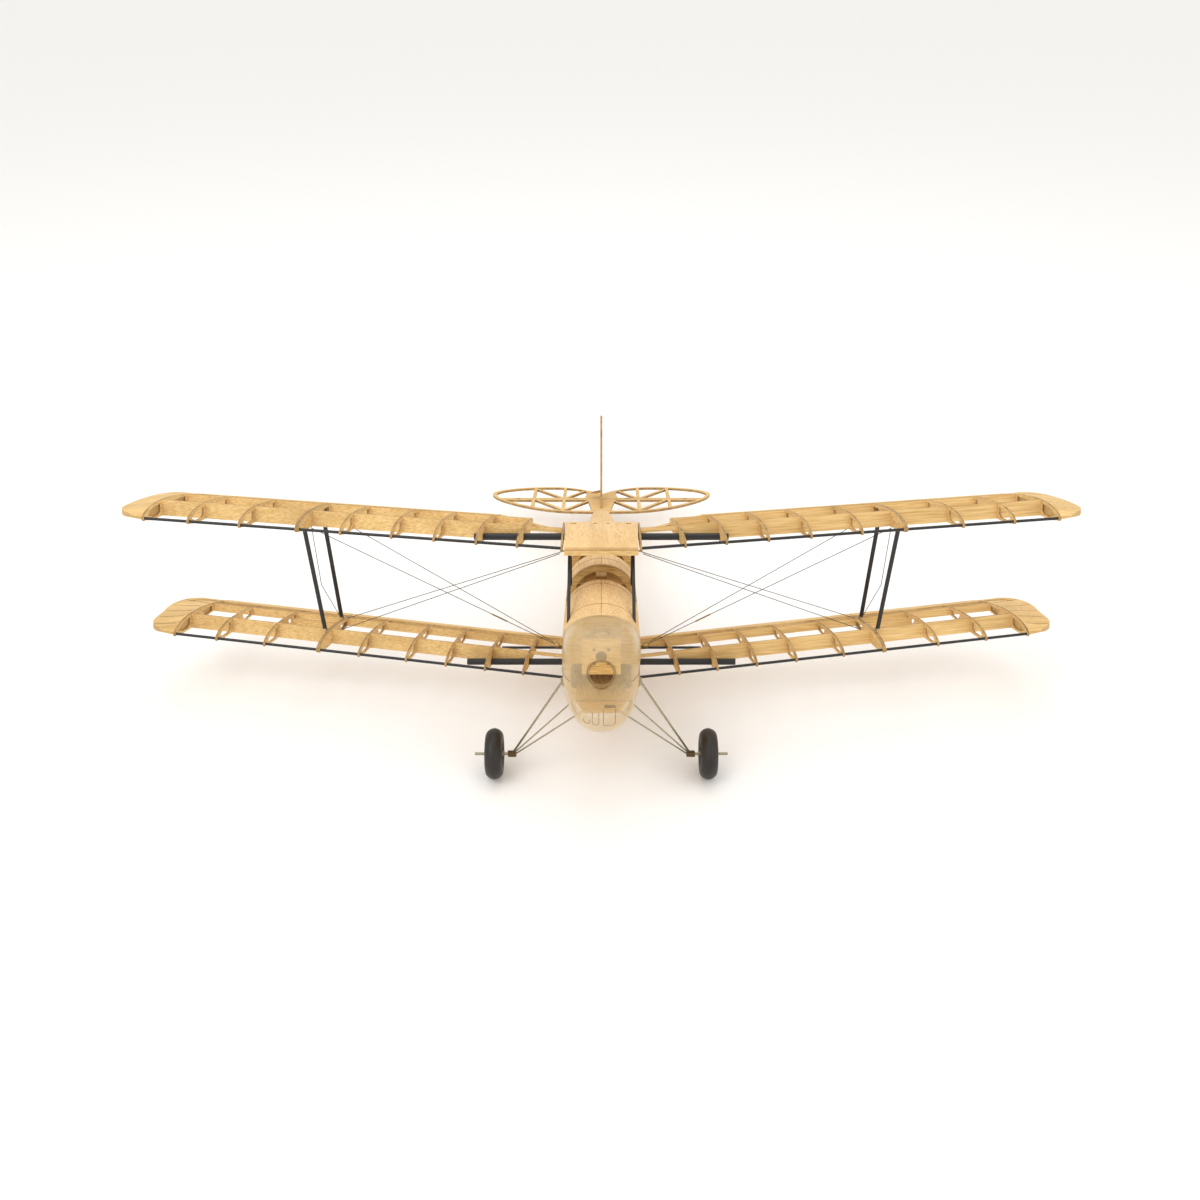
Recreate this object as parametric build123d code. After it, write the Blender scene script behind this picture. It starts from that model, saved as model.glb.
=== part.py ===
from build123d import *
import math
import os

os.makedirs("parts", exist_ok=True)

# Uncovered balsa airframe of a two-seat radio-controlled trainer biplane, all sizes in mm.
# Flight frame: X to port, Y aft, Z up, origin on the centre line at the upper wing's leading edge.
# Every piece is drawn in that frame and then stood on its wheels and tail skid by the stance at the end.

# Wings
chord = 143.5
sweep = 5.6
upper_dihedral = 2.7
lower_dihedral = 4.65
incidence = 3.4
wing_gap = 154.4
stagger = 49.9
root_x = 37.8
stations = [0, 45.1, 85.8, 128.0, 170.7, 222.0, 266.1, 325.1, 377.8, 424.0]
strut_rib = 6
upper_tip_length = 37.0
lower_tip_length = 43.0
upper_tip_wide_v = 72.0
lower_tip_wide_v = 98.0
upper_tip_shoulder = 0.93
lower_tip_shoulder = 0.85
airfoil_thickness = 0.115
airfoil_camber = 0.02
camber_place = 0.4
rib_thick = 2.0
strut_rib_thick = 4.0
spar_thick = 2.0
front_spar_v = 43.0
rear_spar_v = 105.0
slot_play = 0.05
rod_d = 3.0
rod_v = 1.6
rod_w = -1.0
clip_wall = 1.3
joiner_d = 7.0
joiner_wall = 1.0
upper_joiner_half = 128.0
lower_joiner_half = 145.0
rear_joiner_d = 3.0
rear_joiner_half = 112.0
edge_width = 17.0
nose_wall = 2.6
web_wall = 2.4
cutout_v = 80.0

# Ailerons
aileron_gap = 1.0
aileron_first = 6
aileron_last = 9
tab_thick = 2.0
pin_d = 1.0
pin_play = 0.05

# Fuselage
nose_y = -58.0
taper_y = 195.0
post_y = 545.0
side_half = 37.0
post_half = 5.0
top_z = -74.0
top_slope = 0.0146
belly_rows = [(nose_y, -122.0, 17.0, -150.0), (50.0, -162.0, 33.0, -164.0), (195.0, -164.0, 33.0, -166.0),
              (post_y, -93.0, 3.4, -101.0)]
sheet = 2.0
deck_sheet = 1.2
former_t = 2.0
cockpit_1 = (24.0, 86.0)
cockpit_2 = (132.0, 190.0)
deck_end_y = 472.0
former_ys = [cockpit_1[0], cockpit_1[1], cockpit_2[0], cockpit_2[1], 262.0, 335.0, 405.0, 466.0]
former_rim = 6.5
firewall_t = 3.0
thrust_z = -75.0
box_w = 36.0
box_h = 35.0
box_front_y = -103.0
box_wall = 3.0
shaft_hole_d = 10.5
motor_pcd = 19.0
motor_hole_d = 3.2
ring_y = -147.0
ring_outer_r = 13.4
ring_inner_r = 10.9
cowl_wall = 0.8

# Undercarriage
wheel_x = 110.4
wheel_y = 5.0
wheel_z = -221.8
tyre_r = 26.3
tyre_w = 18.4
hub_r = 12.5
axle_d = 2.9
axle_inner_x = 87.5
axle_outer_x = 130.5
running_play = 0.05
collar_d = 5.6
collar_len = 3.0
skid_y = 512.0

# Tail
tail_thick = 3.0
tail_hinge_y = 553.0
tail_z = -81.2
hinge_gap = 1.2
horn_thick = 1.6
rudder_hinge_y = 554.0

# Rigging
wire_d = 0.7
strut_w = 4.5
strut_t = 2.4
cabane_w = 3.2


def v3(x, y, z):
    return Vector(x, y, z)


def rod(a, b, d):
    a, b = Vector(*a), Vector(*b)
    axis = b - a
    return Plane(origin=a, z_dir=axis) * extrude(Circle(d / 2), axis.length)


def tube(a, b, d, wall):
    return rod(a, b, d) - rod(a, b, d - 2 * wall)


def bar(a, b, width, thick):
    """A flat bar from a to b, its width along X, with rounded edges."""
    a, b = Vector(*a), Vector(*b)
    axis = b - a
    section = RectangleRounded(width, thick, thick * 0.42)
    side = Vector(1, 0, 0) - axis.normalized() * axis.normalized().X
    return Plane(origin=a, x_dir=side, z_dir=axis) * extrude(section, axis.length)


def box(x0, x1, y0, y1, z0, z1):
    return Pos((x0 + x1) / 2, (y0 + y1) / 2, (z0 + z1) / 2) * Box(x1 - x0, y1 - y0, z1 - z0)


def plate(points, thick, plane):
    """A flat plate from its outline, half its thickness each side of the plane."""
    return extrude(plane * make_face(Polyline(*points, close=True)), thick / 2, both=True)


def mirrored(shape):
    return mirror(shape, Plane.YZ)


def both_sides(shape):
    return group([shape, mirrored(shape)])


def group(shapes):
    solids = []
    for shape in shapes:
        solids.extend(shape.solids())
    return Compound(children=solids)


# ---------------------------------------------------------------- aerofoil
def camber_at(x):
    if x < camber_place:
        return airfoil_camber / camber_place**2 * (2 * camber_place * x - x * x)
    return airfoil_camber / (1 - camber_place) ** 2 * ((1 - 2 * camber_place) + 2 * camber_place * x - x * x)


def half_thickness_at(x):
    poly = 0.2969 * math.sqrt(x) - 0.126 * x - 0.3516 * x**2 + 0.2843 * x**3 - 0.1015 * x**4
    return 5 * airfoil_thickness * poly


def top_at(v):
    x = min(max(v / chord, 0), 1)
    return chord * (camber_at(x) + half_thickness_at(x))


def low_at(v):
    x = min(max(v / chord, 0), 1)
    return chord * (camber_at(x) - half_thickness_at(x))


def aerofoil_face(end_v):
    """The rib outline from the nose to end_v, in the plane of chord and height."""
    steps = [end_v * (1 - math.cos(math.pi * k / 18)) / 2 for k in range(1, 10)]
    steps += [end_v * (0.55 + 0.45 * k / 4) for k in range(5)]
    upper = [(v, top_at(v)) for v in reversed(sorted(set(steps)))]
    lower = [(v, low_at(v)) for v in sorted(set(steps))]
    outline = Spline(*upper, (0, 0), *lower)
    return Plane.YZ * make_face([outline, Line(lower[-1], upper[0])])


def ribbon_hole(points):
    return Plane.YZ * make_face(Polyline(*points, close=True))


def nose_hole():
    a, b, c = 8.5, 20.0, front_spar_v - 5.0
    return ribbon_hole([
        (a, (top_at(a) + low_at(a)) / 2 - 0.3),
        (b, top_at(b) - nose_wall),
        (c, top_at(c) - nose_wall - 0.6),
        (c, low_at(c) + nose_wall + 3.0),
        (c - 5.0, low_at(c) + nose_wall),
        (b, low_at(b) + nose_wall),
    ])


def web_hole():
    a, b = 74.0, rear_spar_v - 5.0
    return ribbon_hole([
        (a, top_at(a) - web_wall - 1.6),
        (b, top_at(b) - web_wall),
        (b, low_at(b) + web_wall),
        (a + 7, low_at(a) + web_wall),
    ])


def spar_slot(v, thick):
    """The half-lap slot in a rib, open at the bottom, that a spar stands in."""
    mid = (top_at(v) + low_at(v)) / 2
    gap = thick / 2 + slot_play
    return Pos(0, v, mid - 20) * Box(20, 2 * gap, 40)


def edge_wedge(u0, u1, v_in, v_out):
    """The trailing-edge strip, a wedge that follows the ribs' underside."""
    points = [
        (v_in, low_at(v_in)),
        (v_in, top_at(v_in)),
        (v_out, low_at(v_out) + 1.0),
        (v_out, low_at(v_out)),
    ]
    return Pos(u0, 0, 0) * extrude(Plane.YZ * make_face(Polyline(*points, close=True)), u1 - u0)


def rib_solid(u, thick, end_v, nose=True, web=True, angle=0.0):
    """One rib with its windows, the eye for the leading rod and the two spar slots."""
    face = aerofoil_face(end_v)
    face = face + Plane.YZ * Pos(rod_v, rod_w) * Circle(rod_d / 2 + clip_wall)
    if nose:
        face = face - nose_hole()
    if web and end_v > rear_spar_v:
        face = face - web_hole()
    solid = extrude(face, thick / 2, both=True)
    solid = solid - Pos(0, rod_v, rod_w) * Rot(0, 90, 0) * Cylinder(rod_d / 2 + slot_play, 20)
    solid = solid - spar_slot(front_spar_v, spar_thick)
    if end_v > rear_spar_v + 1:
        solid = solid - spar_slot(rear_spar_v, spar_thick)
    return Pos(u, 0, 0) * Rot(0, 0, -angle) * solid


def wing_plane(origin_z, origin_y, dihedral):
    lam, gam, inc = map(math.radians, (sweep, dihedral, incidence))
    span_dir = v3(math.cos(lam) * math.cos(gam), math.sin(lam) * math.cos(gam), math.sin(gam))
    chord_dir = v3(-math.sin(lam) * math.cos(inc), math.cos(lam) * math.cos(inc), -math.sin(inc))
    return Plane(origin=(root_x, origin_y, origin_z), x_dir=span_dir, z_dir=span_dir.cross(chord_dir))


upper_plane = wing_plane(0, 0, upper_dihedral)
lower_plane = wing_plane(-wing_gap, stagger, lower_dihedral)
tube_y = front_spar_v - 0.8
upper_tube_z = 0.0
lower_tube_z = -wing_gap + 1.4
upper_tube_y = tube_y
lower_tube_y = stagger + tube_y


def plane_of(upper):
    return upper_plane if upper else lower_plane


def joiner_axis(upper):
    y = upper_tube_y if upper else lower_tube_y
    z = upper_tube_z if upper else lower_tube_z
    half = upper_joiner_half if upper else lower_joiner_half
    return v3(-half, y, z), v3(half, y, z)


def rear_joiner_axis(upper):
    y = rear_spar_v - 5.5 + (0 if upper else stagger)
    z = (0 if upper else -wing_gap) - (rear_spar_v - 5.5) * math.sin(math.radians(incidence)) + 2.8
    return v3(-rear_joiner_half, y, z), v3(rear_joiner_half, y, z)


def local_joiner(upper, d):
    """The joiner tube as a solid in the panel's own frame, for holes and notches."""
    a, b = joiner_axis(upper)
    plane = plane_of(upper)
    return rod(plane.to_local_coords(a), plane.to_local_coords(b), d)


def local_rear_joiner(d):
    a, b = rear_joiner_axis(False)
    return rod(lower_plane.to_local_coords(a), lower_plane.to_local_coords(b), d)


def rib_end(k, upper):
    if upper and k < 2:
        return cutout_v + k * 20.0
    if not upper and aileron_first < k < aileron_last:
        return rear_spar_v + 3.0
    if not upper and k in (0, aileron_last):
        return chord - 0.4
    return chord - edge_width


def panel_ribs(upper):
    """The ten ribs of one panel, cut for the joiners and the trailing edge."""
    ribs = []
    for k, u in enumerate(stations):
        thick = strut_rib_thick if k == strut_rib else rib_thick
        angle = sweep if k == 0 else 0.0
        centre = u + (thick / 2 if k == 0 else 0)
        rib = rib_solid(centre, thick, rib_end(k, upper), nose=k > 2 and k != strut_rib, angle=angle)
        if k <= 2:
            a, b = joiner_axis(upper)
            plane = plane_of(upper)
            a, b = plane.to_local_coords(a), plane.to_local_coords(b)
            share = (centre - a.X) / (b.X - a.X)
            at = a + (b - a) * share
            boss = Pos(centre, at.Y, at.Z) * Rot(0, 90, 0) * Cylinder(joiner_d / 2 + 2.2, thick)
            if k > 0:
                rib = rib + boss
            rib = rib - local_joiner(upper, joiner_d + 2 * slot_play)
            rib = rib - spar_slot_at(centre)
            if not upper:
                rib = rib - local_rear_joiner(rear_joiner_d + 2 * slot_play)
        rib = rib - leading_local(rod_d + 2 * slot_play)
        ribs.append(max(rib.solids(), key=lambda solid: solid.volume))
    return group(ribs)


def spar_slot_at(u):
    return Pos(u, 0, 0) * spar_slot(front_spar_v, spar_thick)


def spar_plate(upper, v, u0, u1, notch):
    """A full-height spar web, slotted from the top where each rib crosses it."""
    top, low = top_at(v) - 0.05, low_at(v) + 0.05
    mid = (top_at(v) + low_at(v)) / 2
    plane = Plane(origin=(0, v, 0), x_dir=(1, 0, 0), z_dir=(0, -1, 0))
    web = plate([(u0, low), (u1, low), (u1, top), (u0, top)], spar_thick, plane)
    for k, u in enumerate(stations):
        if u - 3 < u0 or u + 1.5 > u1:
            continue
        thick = strut_rib_thick if k == strut_rib else rib_thick
        web = web - Pos(u, v, mid + 20) * Box(thick + 2 * slot_play, 20, 40)
    if notch:
        reach = stations[1] + 3.0
        web = web - box(u0 - 1, reach, v - 5, v + 5, low - 5, upper_notch_w(upper))
        web = web - local_joiner(upper, joiner_d + 2 * slot_play)
    return web


def upper_notch_w(upper):
    """Height, in the panel, that the shallow root end of the front spar starts at."""
    plane = plane_of(upper)
    end = joiner_axis(upper)[1]
    at = plane.to_local_coords(v3(root_x, end.Y, end.Z))
    return at.Z + joiner_d / 2 + 0.3


def spars(upper, v, notch):
    u0 = v * math.tan(math.radians(sweep)) + rib_thick + 0.3
    if upper and v == rear_spar_v:
        u0 = stations[1] + rib_thick / 2 + slot_play
    u1 = stations[9] - rib_thick / 2
    web = spar_plate(upper, v, u0, u1, notch)
    if upper:
        web = web - cutout_strip()
    if not upper and v == rear_spar_v:
        web = web - local_rear_joiner(rear_joiner_d + 2 * slot_play)
    return web


def trailing_local(upper):
    """Trailing-edge pieces of one panel in its own frame: full strip, or the upper wing's cut-out."""
    inner = chord - edge_width
    if upper:
        strip = edge_wedge(stations[2], stations[9] + 1.0, inner, chord)
        strip = strip + cutout_strip()
        return strip
    return edge_wedge(inner * math.tan(math.radians(sweep)) + 3.8, stations[aileron_first] + 2.0, inner, chord)


def cutout_strip():
    """The oblique strip from the second rib's tail forward to the root rib."""
    run_u = stations[2] - stations[0]
    run_v = chord - cutout_v
    width = 8.0
    low = low_at(100.0)
    points = [
        (stations[2], chord - width),
        (stations[2], chord),
        (cutout_v * 0.098 + 3.0, cutout_v + 3.0 * run_v / run_u),
        (cutout_v * 0.098 + 3.0, cutout_v - width),
    ]
    face = Pos(0, 0, low + 1.6) * make_face(Polyline(*points, close=True))
    return extrude(face, 2.0)


def tip_size(upper):
    if upper:
        return upper_tip_length, upper_tip_wide_v, upper_tip_shoulder
    return lower_tip_length, lower_tip_wide_v, lower_tip_shoulder


def tip_outline(upper):
    """Half-oval tip beyond the end rib: a tight nose curve, a long sweep and a fuller tail curve."""
    u = stations[9] + rib_thick / 2
    reach, wide_v, shoulder = tip_size(upper)
    back = chord - wide_v
    rim = Spline((u, rod_v - 1.5), (u + reach * 0.36, rod_v), (u + reach * 0.64, wide_v * 0.12),
                 (u + reach * shoulder, wide_v * 0.52), (u + reach, wide_v),
                 (u + reach * 0.82, wide_v + back * 0.55), (u + reach * 0.44, wide_v + back * 0.86), (u, chord))
    return make_face([rim, Line((u, chord), (u, rod_v - 1.5))])


def tip_profile(upper):
    """Side view of the tip: the rib outline, thinned outboard by a loft to a thin edge."""
    u = stations[9] + rib_thick / 2
    inner = Pos(u, 0, 0) * aerofoil_face(chord - 0.4)
    outer_face = Pos(u + tip_size(upper)[0] + 2, 0, 0) * (Plane.YZ * make_face(Polyline(
        (2, 1.0), (chord - 2, 1.0), (chord - 2, 3.0), (2, 3.0), close=True)))
    return loft([inner, outer_face])


def wing_tip(upper):
    """The tip: a planked shell block within the oval outline, hollowed from below on the lower wing."""
    body = tip_profile(upper)
    outline = Pos(0, 0, -30) * extrude(tip_outline(upper), 60)
    tip = body & outline
    if not upper:
        u = stations[9] + rib_thick / 2
        crescent = Spline((u + 1.5, 121.0), (u + 18.0, 118.0), (u + 31.0, 110.0))
        back = Spline((u + 31.0, 110.0), (u + 20.0, 124.0), (u + 1.5, 129.5))
        hole = make_face([crescent, back, Line((u + 1.5, 129.5), (u + 1.5, 121.0))])
        tip = tip - Pos(0, 0, -30) * extrude(hole, 60)
    return tip


def servo_frames():
    """Two cross strips and a floor plate that hold a wing servo beside the strut rib."""
    u0 = stations[6] + strut_rib_thick / 2 + 0.1
    u1 = stations[7] - rib_thick / 2 - 0.1
    strips = [box(u0, u1, v, v + 2.0, low_at(60) + 1.0, top_at(60) - 5.0) for v in (56.0, 82.0)]
    return group(strips)


def leading_local(d):
    return rod((0.4, rod_v, rod_w), (stations[9] + rib_thick / 2, rod_v, rod_w), d)


def leading_rod(upper):
    return plane_of(upper) * leading_local(rod_d)


# ---------------------------------------------------------------- ailerons
aileron_u0 = stations[aileron_first] + strut_rib_thick / 2 + aileron_gap
aileron_u1 = stations[aileron_last] - rib_thick / 2 - aileron_gap
aileron_v = rear_spar_v + 7.8
hinge_v = rear_spar_v + 4.6
hinge_w = (top_at(hinge_v) + low_at(hinge_v)) / 2 - 0.2
hinge_us = [aileron_u0 + 14, (aileron_u0 + aileron_u1) / 2, aileron_u1 - 14]


def aileron_spar():
    top, low = top_at(aileron_v) - 0.1, low_at(aileron_v) + 0.1
    plane = Plane(origin=(0, aileron_v, 0), x_dir=(1, 0, 0), z_dir=(0, -1, 0))
    return plate([(aileron_u0, low), (aileron_u1, low), (aileron_u1, top), (aileron_u0, top)], spar_thick, plane)


def aileron_ribs():
    ribs = []
    us = [aileron_u0 + 1.0, stations[7], stations[8], aileron_u1 - 1.0]
    for u in us:
        face = aerofoil_face(chord - edge_width)
        solid = Pos(u, 0, 0) * extrude(face, rib_thick / 2, both=True)
        ribs.append(solid - box(-10, 600, -10, aileron_v + spar_thick / 2, -30, 30))
    return group(ribs)


def aileron_edge():
    return edge_wedge(aileron_u0, aileron_u1, chord - edge_width, chord)


def hinge_tab(u):
    """A ply tab on the fixed spar with a hole for the hinge pin."""
    back = rear_spar_v + spar_thick / 2
    tab = box(u - tab_thick / 2, u + tab_thick / 2, back, hinge_v + 1.1, hinge_w - 1.6, hinge_w + 1.6)
    return tab - Pos(u, hinge_v, hinge_w) * Rot(0, 90, 0) * Cylinder(pin_d / 2 + pin_play, 10)


def hinge_fork(u):
    """Two ears on the moving spar and the pin between them, which passes through the fixed tab."""
    ears = []
    front = aileron_v - spar_thick / 2
    for side in (-1, 1):
        inner = u + side * (tab_thick / 2 + 0.4)
        outer = inner + side * 1.4
        ears.append(box(min(inner, outer), max(inner, outer), hinge_v - 1.4, front, hinge_w - 1.4, hinge_w + 1.4))
    pin = Pos(u, hinge_v, hinge_w) * Rot(0, 90, 0) * Cylinder(pin_d / 2, tab_thick + 1.6)
    return ears[0] + ears[1] + pin


def aileron_horn():
    """Ply horn under the aileron's inboard end, with the link hole ahead of the hinge line."""
    u = aileron_u0 + 30.0
    low = low_at(aileron_v) + 0.1
    front = aileron_v + spar_thick / 2
    points = [(front, low + 5), (front + 9, low + 4), (front + 9, low + 1), (front + 1.5, low - 13),
              (front - 4, low - 13), (front, low)]
    plane = Plane(origin=(u, 0, 0), x_dir=(0, 1, 0), z_dir=(1, 0, 0))
    horn = plate(points, horn_thick, plane)
    return horn - Pos(u, front - 1, low - 10.5) * Rot(0, 90, 0) * Cylinder(0.8, 10)


# ---------------------------------------------------------------- fuselage
def half_width(y):
    if y <= taper_y:
        return side_half
    return side_half - (side_half - post_half) * (y - taper_y) / (post_y - taper_y)


def side_top(y):
    return top_z - top_slope * (y - nose_y)


def belly_at(y):
    """Chine height, half width of the flat bottom and its height at one station."""
    for (y0, *first), (y1, *last) in zip(belly_rows, belly_rows[1:]):
        if y <= y1:
            t = (y - y0) / (y1 - y0)
            return [a + (b - a) * t for a, b in zip(first, last)]
    return list(belly_rows[-1][1:])


def side_low(y):
    return belly_at(y)[2]


def arch_height(y):
    """Height of the deck's crown above the side sheets."""
    if y <= cockpit_1[0]:
        return 24.0 + 11.5 * math.sin(math.pi / 2 * (y - nose_y) / (cockpit_1[0] - nose_y))
    if y <= taper_y:
        return 35.5 - 1.5 * (y - cockpit_1[0]) / (taper_y - cockpit_1[0])
    return 34.0 - 29.0 * (y - taper_y) / (deck_end_y - taper_y)


def side_profile():
    points = [(nose_y, side_top(nose_y)), (post_y, side_top(post_y))]
    points += [(y, chine) for y, chine, half, low in reversed(belly_rows)]
    return make_face(Plane.YZ * Polyline(*points, close=True))


def plan_ribbon(inner, outer):
    """Plan view of one side sheet, inner and outer offsets measured in from the outline."""
    points = [
        (side_half - outer, nose_y),
        (side_half - outer, taper_y),
        (post_half - outer, post_y),
        (post_half - inner, post_y),
        (side_half - inner, taper_y),
        (side_half - inner, nose_y),
    ]
    return make_face(Polyline(*points, close=True))


def fuselage_side():
    ribbon = Pos(0, 0, -300) * extrude(plan_ribbon(sheet, 0.0), 400)
    profile = extrude(side_profile(), 60, both=True)
    side = ribbon & profile
    side = side - box(0, 60, 470, 560, tail_z - tail_thick / 2, 0)
    for k in range(3, len(former_ys) - 1):
        y0, y1 = former_ys[k] + 9, former_ys[k + 1] - 7
        low0, low1 = belly_at(y0)[0] + 7, belly_at(y1)[0] + 7
        up0, up1 = side_top(y0) - 9, side_top(y1) - 9
        hole = [(y0, low0), (y1, low1), (y1, up1), (y0, up0)]
        side = side - Pos(side_half / 2, 0, 0) * extrude(rounded_window(hole), 40, both=True)
    for cut in side_cuts():
        side = side - cut
    return side


def rounded_window(points):
    face = make_face(Plane.YZ * Polyline(*points, close=True))
    return fillet(face.vertices(), 5.0)


def side_cuts():
    """Holes for the lower joiners."""
    a, b = joiner_axis(False)
    c, d = rear_joiner_axis(False)
    return [rod(a, b, joiner_d + 2 * slot_play), rod(c, d, rear_joiner_d + 2 * slot_play)]


def belly_section(y, outer):
    """Cross section of the belly at y: the outer trapezoid, or the space above it."""
    chine, half, low = belly_at(y)
    wide = half_width(y)
    if outer:
        points = [(-wide, chine), (-half, low), (half, low), (wide, chine)]
    else:
        inner, flat = wide - sheet - 0.4, half - 1.0
        points = [(-inner, chine + 4), (-inner, chine), (-flat, low + sheet), (flat, low + sheet),
                  (inner, chine), (inner, chine + 4)]
    return Plane(origin=(0, y, 0), x_dir=(1, 0, 0), z_dir=(0, -1, 0)) * make_face(Polyline(*points, close=True))


def belly_solid(outer):
    solids = []
    for (y0, *_), (y1, *_) in zip(belly_rows, belly_rows[1:]):
        solids.append(loft([belly_section(y0, outer), belly_section(y1, outer)], ruled=True))
    return solids[0] + solids[1] + solids[2]


def bottom_sheet():
    """The belly: two sloping sheets and a flat one."""
    return belly_solid(True) - belly_solid(False)


def arch_face(y, inset, drop=0.0):
    """Half-oval section of the deck at y, closed along the side sheets' top edge."""
    a, b = half_width(y) - inset, arch_height(y) - inset
    z = side_top(y)
    curve = EllipticalCenterArc((0, 0), a, b, start_angle=0, arc_size=180)
    pieces = [curve, Line((-a, 0), (a, 0))]
    if drop:
        pieces = [curve, Line((-a, 0), (-a, -drop)), Line((-a, -drop), (a, -drop)), Line((a, -drop), (a, 0))]
    return Plane(origin=(0, y, z), x_dir=(-1, 0, 0), z_dir=(0, 1, 0)) * make_face(pieces)


def deck_between(y0, y1, steps):
    ys = [y0 + (y1 - y0) * k / steps for k in range(steps + 1)]
    outer = loft([arch_face(y, 0.0) for y in ys])
    far = [y0 - 1.0] + ys[1:-1] + [y1 + 1.0]
    inner = loft([arch_face(y, deck_sheet, 4.0) for y in far])
    return outer - inner


def half_oval(a, b, z):
    return Pos(0, z) * (Ellipse(a, b) & (Pos(0, b / 2) * Rectangle(3 * a, b)))


def frame_outline(y, thick, rim):
    """Outline of a former at y that fits inside sheets, belly and deck, shrunk by rim."""
    back = y + thick
    play = slot_play + rim
    half = min(half_width(y), half_width(back)) - sheet - play
    chine, flat, low = [pick(a, b) for pick, a, b in zip((max, min, max), belly_at(y), belly_at(back))]
    top = min(side_top(y), side_top(back))
    floor = low + sheet + play
    if rim:
        points = [(-half, top), (-half, max(chine + rim * 0.4, floor + 0.5)),
                  (-min(flat - 1.05 - rim * 0.7, half - 0.5), floor)]
    else:
        points = [(-half, top), (-half, chine + slot_play), (-half + 0.4, chine + slot_play), (-flat + 1.05, floor)]
    points += [(-x, z) for x, z in reversed(points)]
    return make_face(Polyline(*points, close=True)), half, top


def former(y):
    """A ring-shaped former inside the sheets at y, flat-bottomed with an arched top."""
    back = y + former_t
    shape, half, top = frame_outline(y, former_t, 0)
    rise = min(arch_height(y), arch_height(back)) - deck_sheet - slot_play - 0.3
    rim = min(former_rim, half * 0.4)
    hole, hole_half, hole_top = frame_outline(y, former_t, rim)
    if y < deck_end_y - 20:
        oval = half_oval(min(half_width(y), half_width(back)) - deck_sheet - slot_play, rise, top)
        shape = shape + (oval & (Pos(0, top + 20) * Rectangle(2 * half, 40)))
        if rise > 2 * rim + 4:
            hole = hole + half_oval(hole_half, rise - rim, top)
        else:
            hole = hole & (Pos(0, top - 101.5) * Rectangle(200, 200))
    else:
        hole = hole & (Pos(0, top - 101.5) * Rectangle(200, 200))
    plane = Plane(origin=(0, y, 0), x_dir=(-1, 0, 0), z_dir=(0, 1, 0))
    return extrude(plane * (shape - hole), former_t)


def formers():
    rings = [former(y) for y in former_ys]
    for cut in (rod(*joiner_axis(False), joiner_d + 2 * slot_play),):
        rings = [ring - cut for ring in rings]
    return group(rings)


def firewall():
    """Ply bulkhead that carries the motor box, with the battery slot and a small air hole."""
    shape, half, top = frame_outline(nose_y, firewall_t, 0)
    rise = arch_height(nose_y) - deck_sheet - slot_play - 0.3
    oval = half_oval(side_half - deck_sheet - slot_play, rise, top)
    face = shape + (oval & (Pos(0, top + 20) * Rectangle(2 * half, 40)))
    slot = Pos(0, -111.5) * RectangleRounded(58, 25, 3)
    vent = Pos(-8.5, -143.0) * Rectangle(11, 3.2)
    centre = Pos(0, thrust_z) * Circle(9.0)
    plane = Plane(origin=(0, nose_y, 0), x_dir=(-1, 0, 0), z_dir=(0, 1, 0))
    return extrude(plane * (face - slot - vent - centre), firewall_t)


def motor_box():
    """Four ply walls between the firewall and the motor plate."""
    y0, y1 = box_front_y + 3.0, nose_y
    half_w, half_h = box_w / 2, box_h / 2
    walls = [
        box(-half_w, -half_w + box_wall, y0 - 3.0, y1, thrust_z - half_h + box_wall, thrust_z + half_h - box_wall),
        box(half_w - box_wall, half_w, y0 - 3.0, y1, thrust_z - half_h + box_wall, thrust_z + half_h - box_wall),
        box(-half_w, half_w, y0 - 3.0, y1, thrust_z + half_h - box_wall, thrust_z + half_h),
        box(-half_w, half_w, y0 - 3.0, y1, thrust_z - half_h, thrust_z - half_h + box_wall),
    ]
    for k in (2, 3):
        walls[k] = walls[k] - box(-8, 8, -92, -72, -200, 0)
    return group(walls)


def motor_plate():
    half_w, half_h = box_w / 2 - box_wall, box_h / 2 - box_wall
    body = box(-half_w, half_w, box_front_y, box_front_y + 3.0, thrust_z - half_h, thrust_z + half_h)
    axis_plane = Plane(origin=(0, box_front_y - 5, thrust_z), x_dir=(1, 0, 0), z_dir=(0, 1, 0))
    holes = Circle(shaft_hole_d / 2)
    for k in range(4):
        angle = math.radians(45 + 90 * k)
        holes = holes + Pos(motor_pcd / 2 * math.cos(angle), motor_pcd / 2 * math.sin(angle)) * Circle(motor_hole_d / 2)
    return body - extrude(axis_plane * holes, 12)


def cowl_section(y, half, top, low, n):
    """Closed egg-shaped section of the cowl: flat-topped above, rounded chin below."""
    mid = top - (top - low) * 0.3
    points = []
    for k in range(16):
        angle = 2 * math.pi * k / 16
        c, s = math.cos(angle), math.sin(angle)
        power = n if s > 0 else 2.3
        x = half * math.copysign(abs(c) ** (2 / power), c)
        z = (top - mid if s > 0 else mid - low) * math.copysign(abs(s) ** (2 / power), s)
        points.append((x, y, mid + z))
    return make_face(Spline(*points, periodic=True))


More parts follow.
